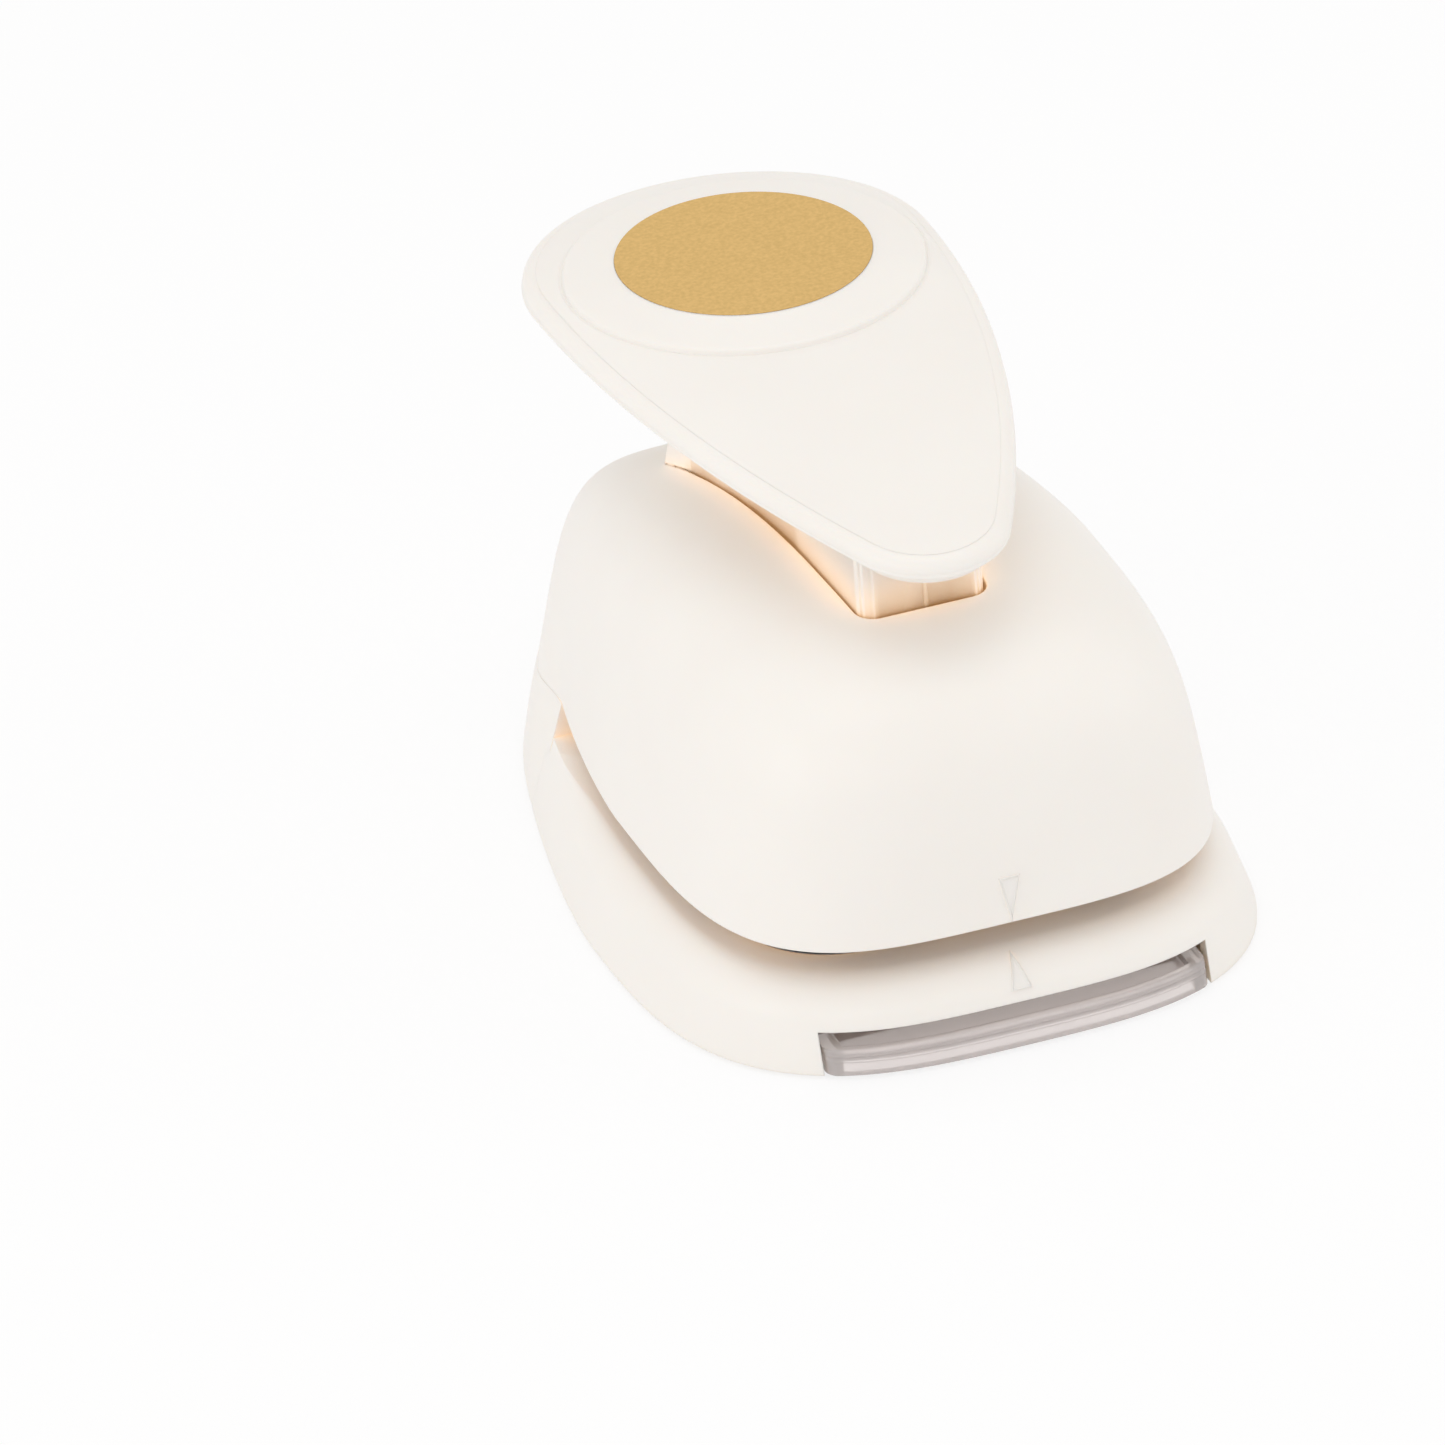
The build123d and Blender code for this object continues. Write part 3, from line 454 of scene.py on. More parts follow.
def plastic(name, pale, deep, roughness, fold_shade_tone=None):
    """Satin moulded plastic with faint mottling, a fine spark-eroded texture and, if asked, painted warm
    shade and a painted glow in its folds.
    """
    made, tree, shader = material(name)
    cloud = textured(tree, MOTTLE_SCALE)
    grain = textured(tree, GRAIN_SCALE, GRAIN_DETAIL)
    tone = ramp(tree, cloud.outputs["Fac"], deep, pale).outputs["Color"]
    if fold_shade_tone:
        tone = paint_fold_shade_and_glow(tree, shader, tone, fold_shade_tone)
    tree.links.new(tone, shader.inputs["Base Color"])
    roughened(tree, shader, cloud.outputs["Fac"], roughness - PLASTIC_SPREAD, roughness + PLASTIC_SPREAD)
    bumped(tree, shader, grain.outputs["Fac"], GRAIN_STRENGTH, FINE_RELIEF, PLASTIC_EDGE)
    shader.inputs["IOR"].default_value = PLASTIC_IOR
    shader.inputs["Subsurface Weight"].default_value = SCATTER_WEIGHT
    shader.inputs["Subsurface Radius"].default_value = SCATTER_REACH
    shader.inputs["Subsurface Scale"].default_value = 1.0
    return made


def metal(name, pale, deep, roughness, scale, stretch):
    """Metal with a grain that can be stretched along an axis."""
    made, tree, shader = material(name)
    where = tree.nodes.new("ShaderNodeTexCoord")
    spread = tree.nodes.new("ShaderNodeMapping")
    spread.inputs["Scale"].default_value = stretch
    noise = tree.nodes.new("ShaderNodeTexNoise")
    noise.inputs["Scale"].default_value = scale
    noise.inputs["Detail"].default_value = METAL_DETAIL
    tree.links.new(where.outputs["Object"], spread.inputs["Vector"])
    tree.links.new(spread.outputs["Vector"], noise.inputs["Vector"])
    tone = ramp(tree, noise.outputs["Fac"], deep, pale)
    tree.links.new(tone.outputs["Color"], shader.inputs["Base Color"])
    roughened(tree, shader, noise.outputs["Fac"], roughness - METAL_SPREAD, roughness + METAL_SPREAD)
    bumped(tree, shader, noise.outputs["Fac"], METAL_STRENGTH, FINE_RELIEF, METAL_EDGE)
    shader.inputs["Metallic"].default_value = 1.0
    return made


def clear_plastic(name, tint, roughness):
    """Clear, slightly smoky moulded plastic."""
    made, tree, shader = material(name)
    cloud = textured(tree, CLEAR_SCALE)
    lighter = tuple(min(1, value * CLEAR_LIGHTER) for value in tint[:3]) + (1,)
    tone = ramp(tree, cloud.outputs["Fac"], tint, lighter)
    tree.links.new(tone.outputs["Color"], shader.inputs["Base Color"])
    roughened(tree, shader, cloud.outputs["Fac"], roughness, roughness + CLEAR_SPREAD)
    bumped(tree, shader, cloud.outputs["Fac"], CLEAR_STRENGTH, CLEAR_RELIEF, PLASTIC_EDGE)
    shader.inputs["Transmission Weight"].default_value = CLEAR_SHARE
    shader.inputs["IOR"].default_value = CLEAR_IOR
    return made


CREAM_PALE, CREAM_DEEP, CREAM_ROUGHNESS = (0.93, 0.90, 0.86, 1), (0.915, 0.882, 0.84, 1), 0.42
# The body's cream gets painted warm shade and a painted glow in its folds; the plain cream gets neither
CREAM = plastic("cream_satin_plastic_with_painted_fold_shade", CREAM_PALE, CREAM_DEEP, CREAM_ROUGHNESS, fold_shade_tone=(0.95, 0.82, 0.64, 1))
CREAM_PLAIN = plastic("cream_plain_plastic", CREAM_PALE, CREAM_DEEP, CREAM_ROUGHNESS)
GOLD = metal("matte_gold_foil", (0.86, 0.60, 0.25, 1), (0.75, 0.515, 0.195, 1), 0.55, 1500.0, (1, 1, 1))
STEEL = metal("ground_steel", (0.66, 0.67, 0.69, 1), (0.52, 0.53, 0.55, 1), 0.3, 700.0, (1, 0.08, 1))
PLATED = metal("zinc_plated_steel", (0.78, 0.78, 0.80, 1), (0.66, 0.67, 0.70, 1), 0.24, 400.0, (1, 1, 1))
WIRE = metal("spring_wire_steel", (0.60, 0.61, 0.63, 1), (0.48, 0.49, 0.51, 1), 0.3, 600.0, (1, 1, 0.2))
CAST = metal("die_cast_metal", (0.70, 0.70, 0.71, 1), (0.60, 0.60, 0.62, 1), 0.45, 1200.0, (1, 1, 1))
RUBBER = plastic("foot_rubber", (0.10, 0.10, 0.10, 1), (0.07, 0.07, 0.07, 1), 0.7)
SMOKY = clear_plastic("smoky_clear_plastic", (0.95, 0.89, 0.875, 1), 0.06)

FINISHES = {
    "cream_body": CREAM, "cream_lever": CREAM, "gold": GOLD, "smoky_clear": SMOKY, "foot_rubber": RUBBER,
    "tool_steel": STEEL, "plated_steel": PLATED, "spring_wire": WIRE, "cast_metal": CAST,
}
for entry in frame["record"]["subparts"]:
    node = frame["nodes"][entry["node"]]
    node.data.materials.clear()
    node.data.materials.append(FINISHES[entry["material_slot"]])


# Upper housing

SLOT_ROUND, SLOT_ROUND_STEPS = 0.45, 4
TOP_STEPS, SIDE_STEPS = 28, 56
INNER_SIDE_STEPS, INNER_TOP_STEPS = 24, 10
LIP_START_SHARE = 0.012
LIP_SEAM, LIP_FADE = 0.02, 3.0

# Inset and height of the lip's rounded edge
LIP_EDGE = ((0.12, 0.15), (0.5, 0.0))


def lip_ring(inset, z, angles):
    """Ring of the lip's rounded edge, which is plain behind the throat."""
    inner = outline_ring(drawn_in(LIP, inset), z, angles)
    outer = outline_ring(drawn_in(LIP, LIP_SEAM), z, angles)
    made = []
    for near, far in zip(inner, outer):
        share = eased((far[1] - THROAT_END_Y) / LIP_FADE)
        made.append(tuple(a + (b - a) * share for a, b in zip(near, far)))
    return flared(made)


def dome_top_rings(angles, edge):
    """Rings of the slot's rounded edge and of the top, out to the dome's shoulder."""
    away = edge - (0, SLOT_CENTRE_Y)
    away /= np.linalg.norm(away, axis=1)[:, None]
    rings = [np.column_stack([edge, dome_height_at(*edge.T) - WALL])]
    for turn in quarter_turns(SLOT_ROUND_STEPS):
        spots = edge + away * SLOT_ROUND * (1 - math.cos(turn))
        level = dome_height_at(*spots.T) - SLOT_ROUND * (1 - math.sin(turn))
        rings.append(np.column_stack([spots, level]))
    start = edge + away * SLOT_ROUND
    shoulder = np.array([outline_point(dome_outline(TOP_SHARE), angle) for angle in angles])
    for step in range(1, TOP_STEPS + 1):
        spots = start + (shoulder - start) * step / TOP_STEPS
        rings.append(np.column_stack([spots, dome_height_at(*spots.T)]))
    return rings


def housing_rings():
    """Closed skin of the housing: from the slot through the inside, lip, sides and top to the slot's edge."""
    angles = turns()
    edge = ray_ring(slot_outline(), SLOT_CENTRE_Y, angles)
    rings = dome_top_rings(angles, edge)
    for step in range(1, SIDE_STEPS + 1):
        share = TOP_SHARE + (LIP_START_SHARE - TOP_SHARE) * step / SIDE_STEPS
        rings.append(flared(outline_ring(dome_outline(share), dome_z(share), angles)))
    rings += [lip_ring(inset, LIP_Z + rise, angles) for inset, rise in LIP_EDGE]
    rings.append(outline_ring(drawn_in(LIP, WALL), LIP_Z, angles))
    for step in range(1, INNER_SIDE_STEPS + 1):
        share = TOP_SHARE * step / INNER_SIDE_STEPS
        rings.append(outline_ring(dome_outline(share, WALL), dome_z(share, WALL), angles))
    shoulder = np.array([outline_point(dome_outline(TOP_SHARE, WALL), angle) for angle in angles])
    for step in range(1, INNER_TOP_STEPS):
        spots = shoulder + (edge - shoulder) * step / INNER_TOP_STEPS
        rings.append(np.column_stack([spots, dome_height_at(*spots.T, WALL)]))
    return rings[::-1]


housing = mesh_piece("housing_skin", *skin(housing_rings(), closed=True), CREAM, "body", "cream_body")
sharp_edges(housing, degrees=50)
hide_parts("housing")


# Lower body

TUCK, TUCK_START, TUCK_RUN, TUCK_FORWARD = 0.012, 3.0, 4.0, 0.4
SHOULDER_FADE_Y, SHOULDER_FADE_RUN, SHOULDER_FADE = 18.0, 24.0, 0.8
WALL_START, WALL_STEPS, SHOULDER_STEPS, DECK_STEPS = 0.35, 12, 24, 12
PLATE_HALF, PLATE_REAR, PLATE_CORNER, PLATE_GAP, PLATE_RECESS = 36.0, 34.0, 16.0, 0.2, 2.0
PLATE_CORNER_STEPS = 16
PUNCH_Y, CHIP_HOLE_R, CHIP_HOLE_STEPS = -10.0, 28.0, 96
OPENING_HALF, OPENING_HEIGHT, OPENING_BACK_Y = 33.0, 7.1, -50.0

# Inset and height of the wall's lower edge, from its inside
WALL_EDGE = ((WALL, 0.0), (0.3, 0.0), (0.08, 0.1))


def shoulder_z(turn):
    """Height on the rounding between wall and deck, by its angle."""
    return SHOULDER_Z + (DECK_Z - SHOULDER_Z) * math.sin(turn)


def shoulder_ring(turn, angles):
    """Ring of the rounding between wall and deck, which grows tighter towards the throat's end."""
    z = shoulder_z(turn)
    wide, narrow = outline_ring(wall_outline(z), z, angles), outline_ring(DECK, z, angles)
    made = []
    for outside, inside in zip(wide, narrow):
        fade = SHOULDER_FADE * eased((outside[1] - SHOULDER_FADE_Y) / SHOULDER_FADE_RUN)
        share = (1 - math.cos(turn)) * (1 - fade)
        made.append(tuple(a + (b - a) * share for a, b in zip(outside, inside)))
    return made


def closing_rings(ring):
    """Level rings from a ring towards its middle."""
    made = []
    for step in range(1, DECK_STEPS):
        share = 1 - step / DECK_STEPS
        made.append([(x * share, LIP.middle + (y - LIP.middle) * share, z) for x, y, z in ring])
    return made


def tucked(ring):
    """Draws the wall in a little behind the throat, where the rear block covers it."""
    moved = []
    for x, y, z in ring:
        share = eased((y - THROAT_END_Y - TUCK_START) / TUCK_RUN)
        moved.append((x * (1 - TUCK * share), y - TUCK_FORWARD * share, z))
    return moved


def base_rings():
    """Closed skin of the lower body without its rear block."""
    angles = turns()
    rings = []
    for inset, rise in WALL_EDGE:
        rings.append(outline_ring(wall_outline(BASE_Z + rise, inset), BASE_Z + rise, angles))
    start = BASE_Z + WALL_START
    for step in range(WALL_STEPS):
        z = start + (SHOULDER_Z - start) * step / WALL_STEPS
        rings.append(outline_ring(wall_outline(z), z, angles))
    rings += [shoulder_ring(turn, angles) for turn in quarter_turns(SHOULDER_STEPS)]
    rings += closing_rings(rings[-1])
    under = outline_ring(wall_outline(DECK_UNDER_Z, WALL), DECK_UNDER_Z, angles)
    rings += reversed([under] + closing_rings(under))
    return [tucked(ring) for ring in rings]


def plate_outline():
    """Outline of the recess for the die plate."""
    half, front = PLATE_HALF + PLATE_GAP, PLATE_FRONT_Y - PLATE_GAP
    right = front_corner(half, front, PLATE_CORNER + PLATE_GAP, PLATE_CORNER_STEPS)
    right.append((half, PLATE_REAR + PLATE_GAP))
    return right + [(-x, y) for x, y in reversed(right)]


def chip_hole():
    """Outline of the hole that the cut circles fall through."""
    turned = turns(CHIP_HOLE_STEPS)
    return [(CHIP_HOLE_R * math.cos(turn), PUNCH_Y + CHIP_HOLE_R * math.sin(turn)) for turn in turned]


base = mesh_piece("base_skin", *skin(base_rings(), closed=True), CREAM, "body", "cream_body")
opening_low = (-OPENING_HALF, -FLOOR.front - OVER, BASE_Z - OVER)
opening_high = (OPENING_HALF, OPENING_BACK_Y, BASE_Z + OPENING_HEIGHT)
cut(base, [
    box_faces(opening_low, opening_high),
    prism(plate_outline(), DECK_Z - PLATE_RECESS, DECK_Z + OVER),
    prism(chip_hole(), DECK_UNDER_Z - OVER, DECK_Z + OVER),
])
sharp_edges(base)


# Rear block behind the paper throat

BLOCK_SUNK, BLOCK_FADE, BLOCK_EDGE = 0.006, 4.0, 0.2
BLOCK_HOLLOW_Z, BLOCK_POLE_Y = 3.0, THROAT_END_Y + 15.0
BLOCK_STEPS, BLOCK_AROUND, BLOCK_ACROSS = 24, 120, 30


def throat_angle(outline, y):
    """Angle at which an outline crosses a level line near the throat's end."""
    low, high = 0.0, math.pi / 2
    for _ in range(HALVINGS):
        middle = (low + high) / 2
        if outline_point(outline, middle)[1] < y:
            low = middle
        else:
            high = middle
    return low


def block_ring(z, inset):
    """Ring of the rear block: its curved outside and its straight front."""
    outline = wall_outline(z, inset)
    start = throat_angle(outline, THROAT_END_Y + inset)
    angles = [start + (math.pi - 2 * start) * step / BLOCK_AROUND for step in range(BLOCK_AROUND + 1)]
    sunk = BLOCK_SUNK * eased((SHOULDER_Z + BLOCK_FADE - z) / BLOCK_FADE)
    ring = []
    for x, y, z in flared(outline_ring(outline, z, angles)):
        ring.append((x * (1 - sunk * (1 - eased((y - THROAT_END_Y) / TUCK_RUN / 2))), y, z))
    (right_x, front_y, _), (left_x, _, _) = ring[0], ring[-1]
    for step in range(1, BLOCK_ACROSS):
        ring.append((left_x + (right_x - left_x) * step / BLOCK_ACROSS, front_y, z))
    return ring


block_rings = [block_ring(BLOCK_HOLLOW_Z, WALL), block_ring(BASE_Z, WALL), block_ring(BASE_Z, BLOCK_EDGE)]
block_start_z = BASE_Z + BLOCK_EDGE
for step in range(BLOCK_STEPS + 1):
    block_rings.append(block_ring(block_start_z + (LIP_Z - block_start_z) * step / BLOCK_STEPS, 0.0))
low_pole, high_pole = (0, BLOCK_POLE_Y, BLOCK_HOLLOW_Z), (0, BLOCK_POLE_Y, LIP_Z)
points, faces = skin(block_rings, first_pole=low_pole, last_pole=high_pole)
block = mesh_piece("rear_block_skin", points, faces, CREAM, "body", "cream_body")
sharp_edges(block)
block.parent = base
block.matrix_parent_inverse = base.matrix_world.inverted()
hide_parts("base_shell")


# Alignment marks

MARK_HALF = 1.8
MARK_PROUD, MARK_FIELD, MARK_BORDER = 0.34, 0.08, 0.18
MARK_ROWS, MARK_COLUMNS = 90, 33
HOUSING_MARK_RISE, HOUSING_MARK_TALL = 0.1, 8.4
DECK_MARK_START, DECK_MARK_END, DECK_MARK_TALL = math.radians(5), math.radians(66), 6.4


def ridge(distance):
    """Height of a mark over its surface: a fine rounded border round a lower field."""
    if distance < MARK_BORDER:
        return MARK_PROUD * math.sin(math.pi / 2 * distance / MARK_BORDER)
    fall = min((distance - MARK_BORDER) / MARK_BORDER, 1)
    return MARK_PROUD - (MARK_PROUD - MARK_FIELD) * (1 - math.cos(math.pi * fall)) / 2


def mark_row(surface, level, tall, from_tip):
    """One row across a mark: its raised face, then back along its underside."""
    half = MARK_HALF * from_tip
    to_foot = (1 - from_tip) * tall
    side_length = math.hypot(MARK_HALF, tall)
    front, back = [], []
    for spot in range(MARK_COLUMNS):
        x = half * (2 * spot / (MARK_COLUMNS - 1) - 1)
        to_side = (half - abs(x)) * tall / side_length
        front.append(surface(x, level, ridge(min(to_side, to_foot))))
        back.append(surface(x, level, -MARK_PROUD))
    return front + back[::-1]


def mark(name, surface, low, high, tall, tip_up):
    """A triangle with a raised border on a surface."""
    rows = []
    for row in range(MARK_ROWS):
        share = row / (MARK_ROWS - 1)
        rows.append(mark_row(surface, low + (high - low) * share, tall, 1 - share if tip_up else share))
    points, faces = skin(rows)
    count = len(rows[0])
    faces += [tuple(reversed(range(count))), tuple(range(len(points) - count, len(points)))]
    piece = mesh_piece(name, points, faces, CREAM_PLAIN, "body", "cream_body")
    sharp_edges(piece, degrees=60)


def housing_front(x, z, proud):
    """Point on the housing's front."""
    share = (z - LIP_Z) / DOME_HEIGHT
    return (x, front_y_of(dome_outline(share), x) - proud, z)


def deck_front(x, turn, proud):
    """Point on the rounding between the wall and the deck, by its angle."""
    z = shoulder_z(turn)
    outline = mixed(wall_outline(z), DECK, 1 - math.cos(turn))
    return (x, front_y_of(outline, x) - proud * math.cos(turn), z + proud * math.sin(turn))


mark_z = LIP_Z + HOUSING_MARK_RISE
mark("housing_mark", housing_front, mark_z, mark_z + HOUSING_MARK_TALL, HOUSING_MARK_TALL, tip_up=False)
mark("deck_mark", deck_front, DECK_MARK_START, DECK_MARK_END, DECK_MARK_TALL, tip_up=True)


# Chip tray

TRAY_HALF, TRAY_BLOCK, TRAY_WALL, TRAY_PROUD = 32.5, 3.0, 1.6, 0.5
TRAY_END_ROUND, TRAY_STEPS, TRAY_ROOM_STEPS = 1.4, 90, 40
TRAY_Z, TRAY_DECK_Z, TRAY_SIDE_Z = 2.3, 3.5, 6.3
TRAY_TUB_FRONT_Y, TRAY_BAR_REAR_Y, TRAY_WELL_Y, TRAY_REAR_Y = -50.0, -46.3, -47.5, 24.0

# Depth and height along the tray's front, from its lower edge over its two beads to its upper edge
TRAY_FACE = (
    (0.5, 0.7), (0.12, 0.78), (0.0, 1.0), (0.0, 2.9), (-0.1, 3.0), (-0.1, 3.12), (0.0, 3.22),
    (0.0, 3.72), (-0.14, 3.84), (-0.14, 4.0), (0.0, 4.12), (0.0, 4.5), (0.08, 4.74), (0.32, 4.9),
)


def tray_front_y(x, z):
    """Front face of the tray, a little proud of the body's wall, with rounded ends."""
    to_end = max(TRAY_END_ROUND - (TRAY_HALF - abs(x)), 0)
    round_back = TRAY_END_ROUND - math.sqrt(TRAY_END_ROUND**2 - to_end**2)
    return front_y_of(wall_outline(z), x) - TRAY_PROUD + round_back


def tray_bar():
    """Front part of the tray with its rounded edges and beads."""
    rows = []
    for step in range(TRAY_STEPS + 1):
        x = -TRAY_HALF * math.cos(math.pi * step / TRAY_STEPS)
        ring = [(x, tray_front_y(x, z) + depth, z) for depth, z in TRAY_FACE]
        ring += [(x, TRAY_BAR_REAR_Y, TRAY_FACE[-1][1]), (x, TRAY_BAR_REAR_Y, TRAY_FACE[0][1])]
        rows.append(ring)
    points, faces = skin(rows)
    count = len(rows[0])
    faces += [tuple(reversed(range(count))), tuple(range(len(points) - count, len(points)))]
    return points, [tuple(reversed(face)) for face in faces]


def tray_room(rear_y):
    """Plan outline of a hollow behind the tray's front wall."""
    half = TRAY_HALF - TRAY_BLOCK
    steps = [half * (2 * step / TRAY_ROOM_STEPS - 1) for step in range(TRAY_ROOM_STEPS + 1)]
    front = [(x, tray_front_y(x, TRAY_FACE[-1][1]) + TRAY_WALL) for x in steps]
    return front + [(half, rear_y), (-half, rear_y)]


tray = mesh_piece("tray_skin", *tray_bar(), SMOKY, "tray", "smoky_clear")
tub = box_faces((-TRAY_HALF, TRAY_TUB_FRONT_Y, TRAY_Z), (TRAY_HALF, TRAY_REAR_Y, TRAY_SIDE_Z))
cut(tray, [tub], "UNION")
well_half, open_z = TRAY_HALF - TRAY_WALL, TRAY_SIDE_Z + OVER
cut(tray, [
    box_faces((-well_half, TRAY_WELL_Y, TRAY_DECK_Z), (well_half, TRAY_REAR_Y - TRAY_WALL, open_z)),
    prism(tray_room(TRAY_WELL_Y + TRAY_WALL), TRAY_DECK_Z, open_z),
    prism(tray_room(TRAY_BAR_REAR_Y - TRAY_WALL), BASE_Z - OVER, TRAY_Z),
])
sharp_edges(tray)
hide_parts("chip_tray")


# Lever pad

PAD_REAR_R, PAD_REAR_Y, PAD_REAR_STEPS = 34.04, 60.95, 80
PAD_TIP_R, PAD_TIP_Y, PAD_TIP_STEPS = 13.89, -25.73, 60
PAD_FLANK_R, PAD_FLANK_STEPS = 205.9, 60
RIM_LEVEL, RIM_SLOPE, RIM_BEND = 79.28, 0.077, -0.000795
RIM_HEIGHT, RIM_INSET, RIM_STEPS, RIM_FULLNESS = 3.0, 2.4, 14, 0.9
CAP_HOLLOW = 2.4
CROWN, CROWN_RISE, CROWN_STEPS = 0.018, 0.05, 32
PLATEAU_R, PLATEAU_Y, PLATEAU_Z = 29.4, 54.3, 86.25
PLATEAU_STEP, PLATEAU_SKIRT, PLATEAU_SWELL, PLATEAU_STEPS = 0.9, 0.7, 1.8, 12
PLATEAU_INWARD_POWER, PLATEAU_UPWARD_POWER = 1.2, 0.55
DISC_R, DISC_SUNK = 20.94, 0.15
DISC_SEAT_Z = PLATEAU_Z + PLATEAU_SWELL - DISC_SUNK

# Inset and height along the rim's section, from its inside to the start of its rounding
RIM_PROFILE = (
    (4.4, 1.2), (2.6, 0.1), (0.3, 0.0), (0.08, 0.06), (0.0, 0.2), (0.0, 0.48), (0.04, 0.62),
    (0.12, 0.7), (0.14, 0.8), (0.11, 0.92),
)

# Reach past the plateau's radius and height over its level, along its rounded step
PLATEAU_EDGE = ((0.4, -0.98), (0.2, -0.92), (0.1, -0.7), (0.04, -0.26), (-0.1, -0.08), (-0.4, 0.03))


def pad_arcs():
    """Centre, radius, end angles and steps of the arcs on the pad's right side."""
    run = PAD_REAR_Y - PAD_TIP_Y
    rear_reach, tip_reach = PAD_FLANK_R - PAD_REAR_R, PAD_FLANK_R - PAD_TIP_R
    along = (tip_reach**2 - rear_reach**2 - run**2) / (2 * run)
    across = math.sqrt(rear_reach**2 - along**2)
    low, high = math.atan2(-run - along, across), math.atan2(-along, across)
    return (
        (0, PAD_TIP_Y, PAD_TIP_R, -math.pi / 2, low, PAD_TIP_STEPS),
        (-across, PAD_REAR_Y + along, PAD_FLANK_R, low, high, PAD_FLANK_STEPS),
        (0, PAD_REAR_Y, PAD_REAR_R, high, math.pi / 2, PAD_REAR_STEPS),
    )


def rim_z(y):
    """Height of the rim, which bows a little along the lever."""
    return RIM_LEVEL + RIM_SLOPE * y + RIM_BEND * y**2


def pad_ring(inset, height):
    """Ring of the teardrop, at a height over the bowed rim."""
    right = []
    for x, y, radius, start, end, count in pad_arcs():
        for step in range(count):
            angle = start + (end - start) * step / count
            right.append((x + (radius - inset) * math.cos(angle), y + (radius - inset) * math.sin(angle)))
    right.append((0, PAD_REAR_Y + PAD_REAR_R - inset))
    flat = right + [(-x, y) for x, y in reversed(right[1:-1])]
    return [(x, y - height * RIM_SLOPE, rim_z(y) + height) for x, y in flat]


def facing_circle(ring, radius, z):
    """Level circle round the disc's axis, whose points face those of a ring."""
    made = []
    for x, y, _ in ring:
        reach = math.hypot(x, y - PLATEAU_Y)
        made.append((x * radius / reach, PLATEAU_Y + (y - PLATEAU_Y) * radius / reach, z))
    return made


def rim_rings():
    """Rings of the rim, from its inside over its rounded outer edge."""
    rings = [pad_ring(inset, height) for inset, height in RIM_PROFILE]
    inset, height = RIM_PROFILE[-1]
    for turn in quarter_turns(RIM_STEPS)[1:]:
        out, up = math.cos(turn) ** RIM_FULLNESS, math.sin(turn)
        rings.append(pad_ring(inset + (RIM_INSET - inset) * (1 - out), height + (RIM_HEIGHT - height) * up))
    return rings


def plateau_rings(outer):
    """Rings of the round plateau: its stepped edge, its swell and the disc's recess."""
    rings = [facing_circle(outer, PLATEAU_R + out, PLATEAU_Z + up) for out, up in PLATEAU_EDGE]
    out, up = PLATEAU_EDGE[-1]
    start = PLATEAU_R + out
    for turn in quarter_turns(PLATEAU_STEPS)[1:]:
        radius = start - (start - DISC_R) * math.sin(turn) ** PLATEAU_INWARD_POWER
        rise = up + (PLATEAU_SWELL - up) * (1 - math.cos(turn)) ** PLATEAU_UPWARD_POWER
        rings.append(facing_circle(outer, radius, PLATEAU_Z + rise))
    return rings + [facing_circle(outer, DISC_R, DISC_SEAT_Z)]


def cap_rings():
    """Skin of the cap: rim, crown and plateau."""
    rings = rim_rings()
    outer = np.array(pad_ring(RIM_INSET, RIM_HEIGHT + CROWN_RISE))
    skirt = np.array(facing_circle(outer, PLATEAU_R + PLATEAU_SKIRT, PLATEAU_Z - PLATEAU_STEP))
    gap = np.linalg.norm(skirt - outer, axis=1)
    for step in range(CROWN_STEPS + 1):
        share = step / CROWN_STEPS
        row = outer + (skirt - outer) * share
        row[:, 2] += CROWN * gap * math.sin(math.pi * share)
        rings.append(row)
    return rings + plateau_rings(outer)


hollow_pole, disc_pole = (0, PAD_REAR_Y, rim_z(PAD_REAR_Y) + CAP_HOLLOW), (0, PLATEAU_Y, DISC_SEAT_Z)
points, faces = skin(cap_rings(), first_pole=hollow_pole, last_pole=disc_pole)
cap = mesh_piece("cap_skin", points, faces, CREAM_PLAIN, "lever", "cream_lever")
sharp_edges(cap, degrees=40)
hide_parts("lever_cap")


# Lever shell: bowed dish over the stem and arms

STEM_PLANE_Z, STEM_PLANE_TILT = 78.45, math.radians(1.85)
STEM_INTO_DISH, STEM_SLICE = 0.9, 0.15
DISH_MIDDLE_Y, DISH_STEPS, DISH_TOP_GAP, DISH_DEPTH = 45.0, 12, 0.05, 3.0
SLAB_HALF, SLAB_REACH = 65.0, 130.0

# Inset and height along the dish's side, from its top to its floor
DISH_PROFILE = (
    (1.0, 0.0), (1.05, -0.25), (1.2, -0.65), (1.45, -1.05), (1.85, -1.6), (2.5, -2.25), (3.2, -2.75),
    (4.0, -DISH_DEPTH),
)


def plain_rim_z(y):
    """Height of the stem's own straight upper plane."""
    return STEM_PLANE_Z + y * math.tan(STEM_PLANE_TILT)


def drawn_together(inset, share, drop):
    """Ring inside the dish, drawn towards its middle by a share, below the bowed rim."""
    ring = []
    for x, y, _ in pad_ring(inset, 0):
        new_y = DISH_MIDDLE_Y + (y - DISH_MIDDLE_Y) * (1 - share)
        ring.append((x * (1 - share), new_y, rim_z(new_y) - drop))
    return ring


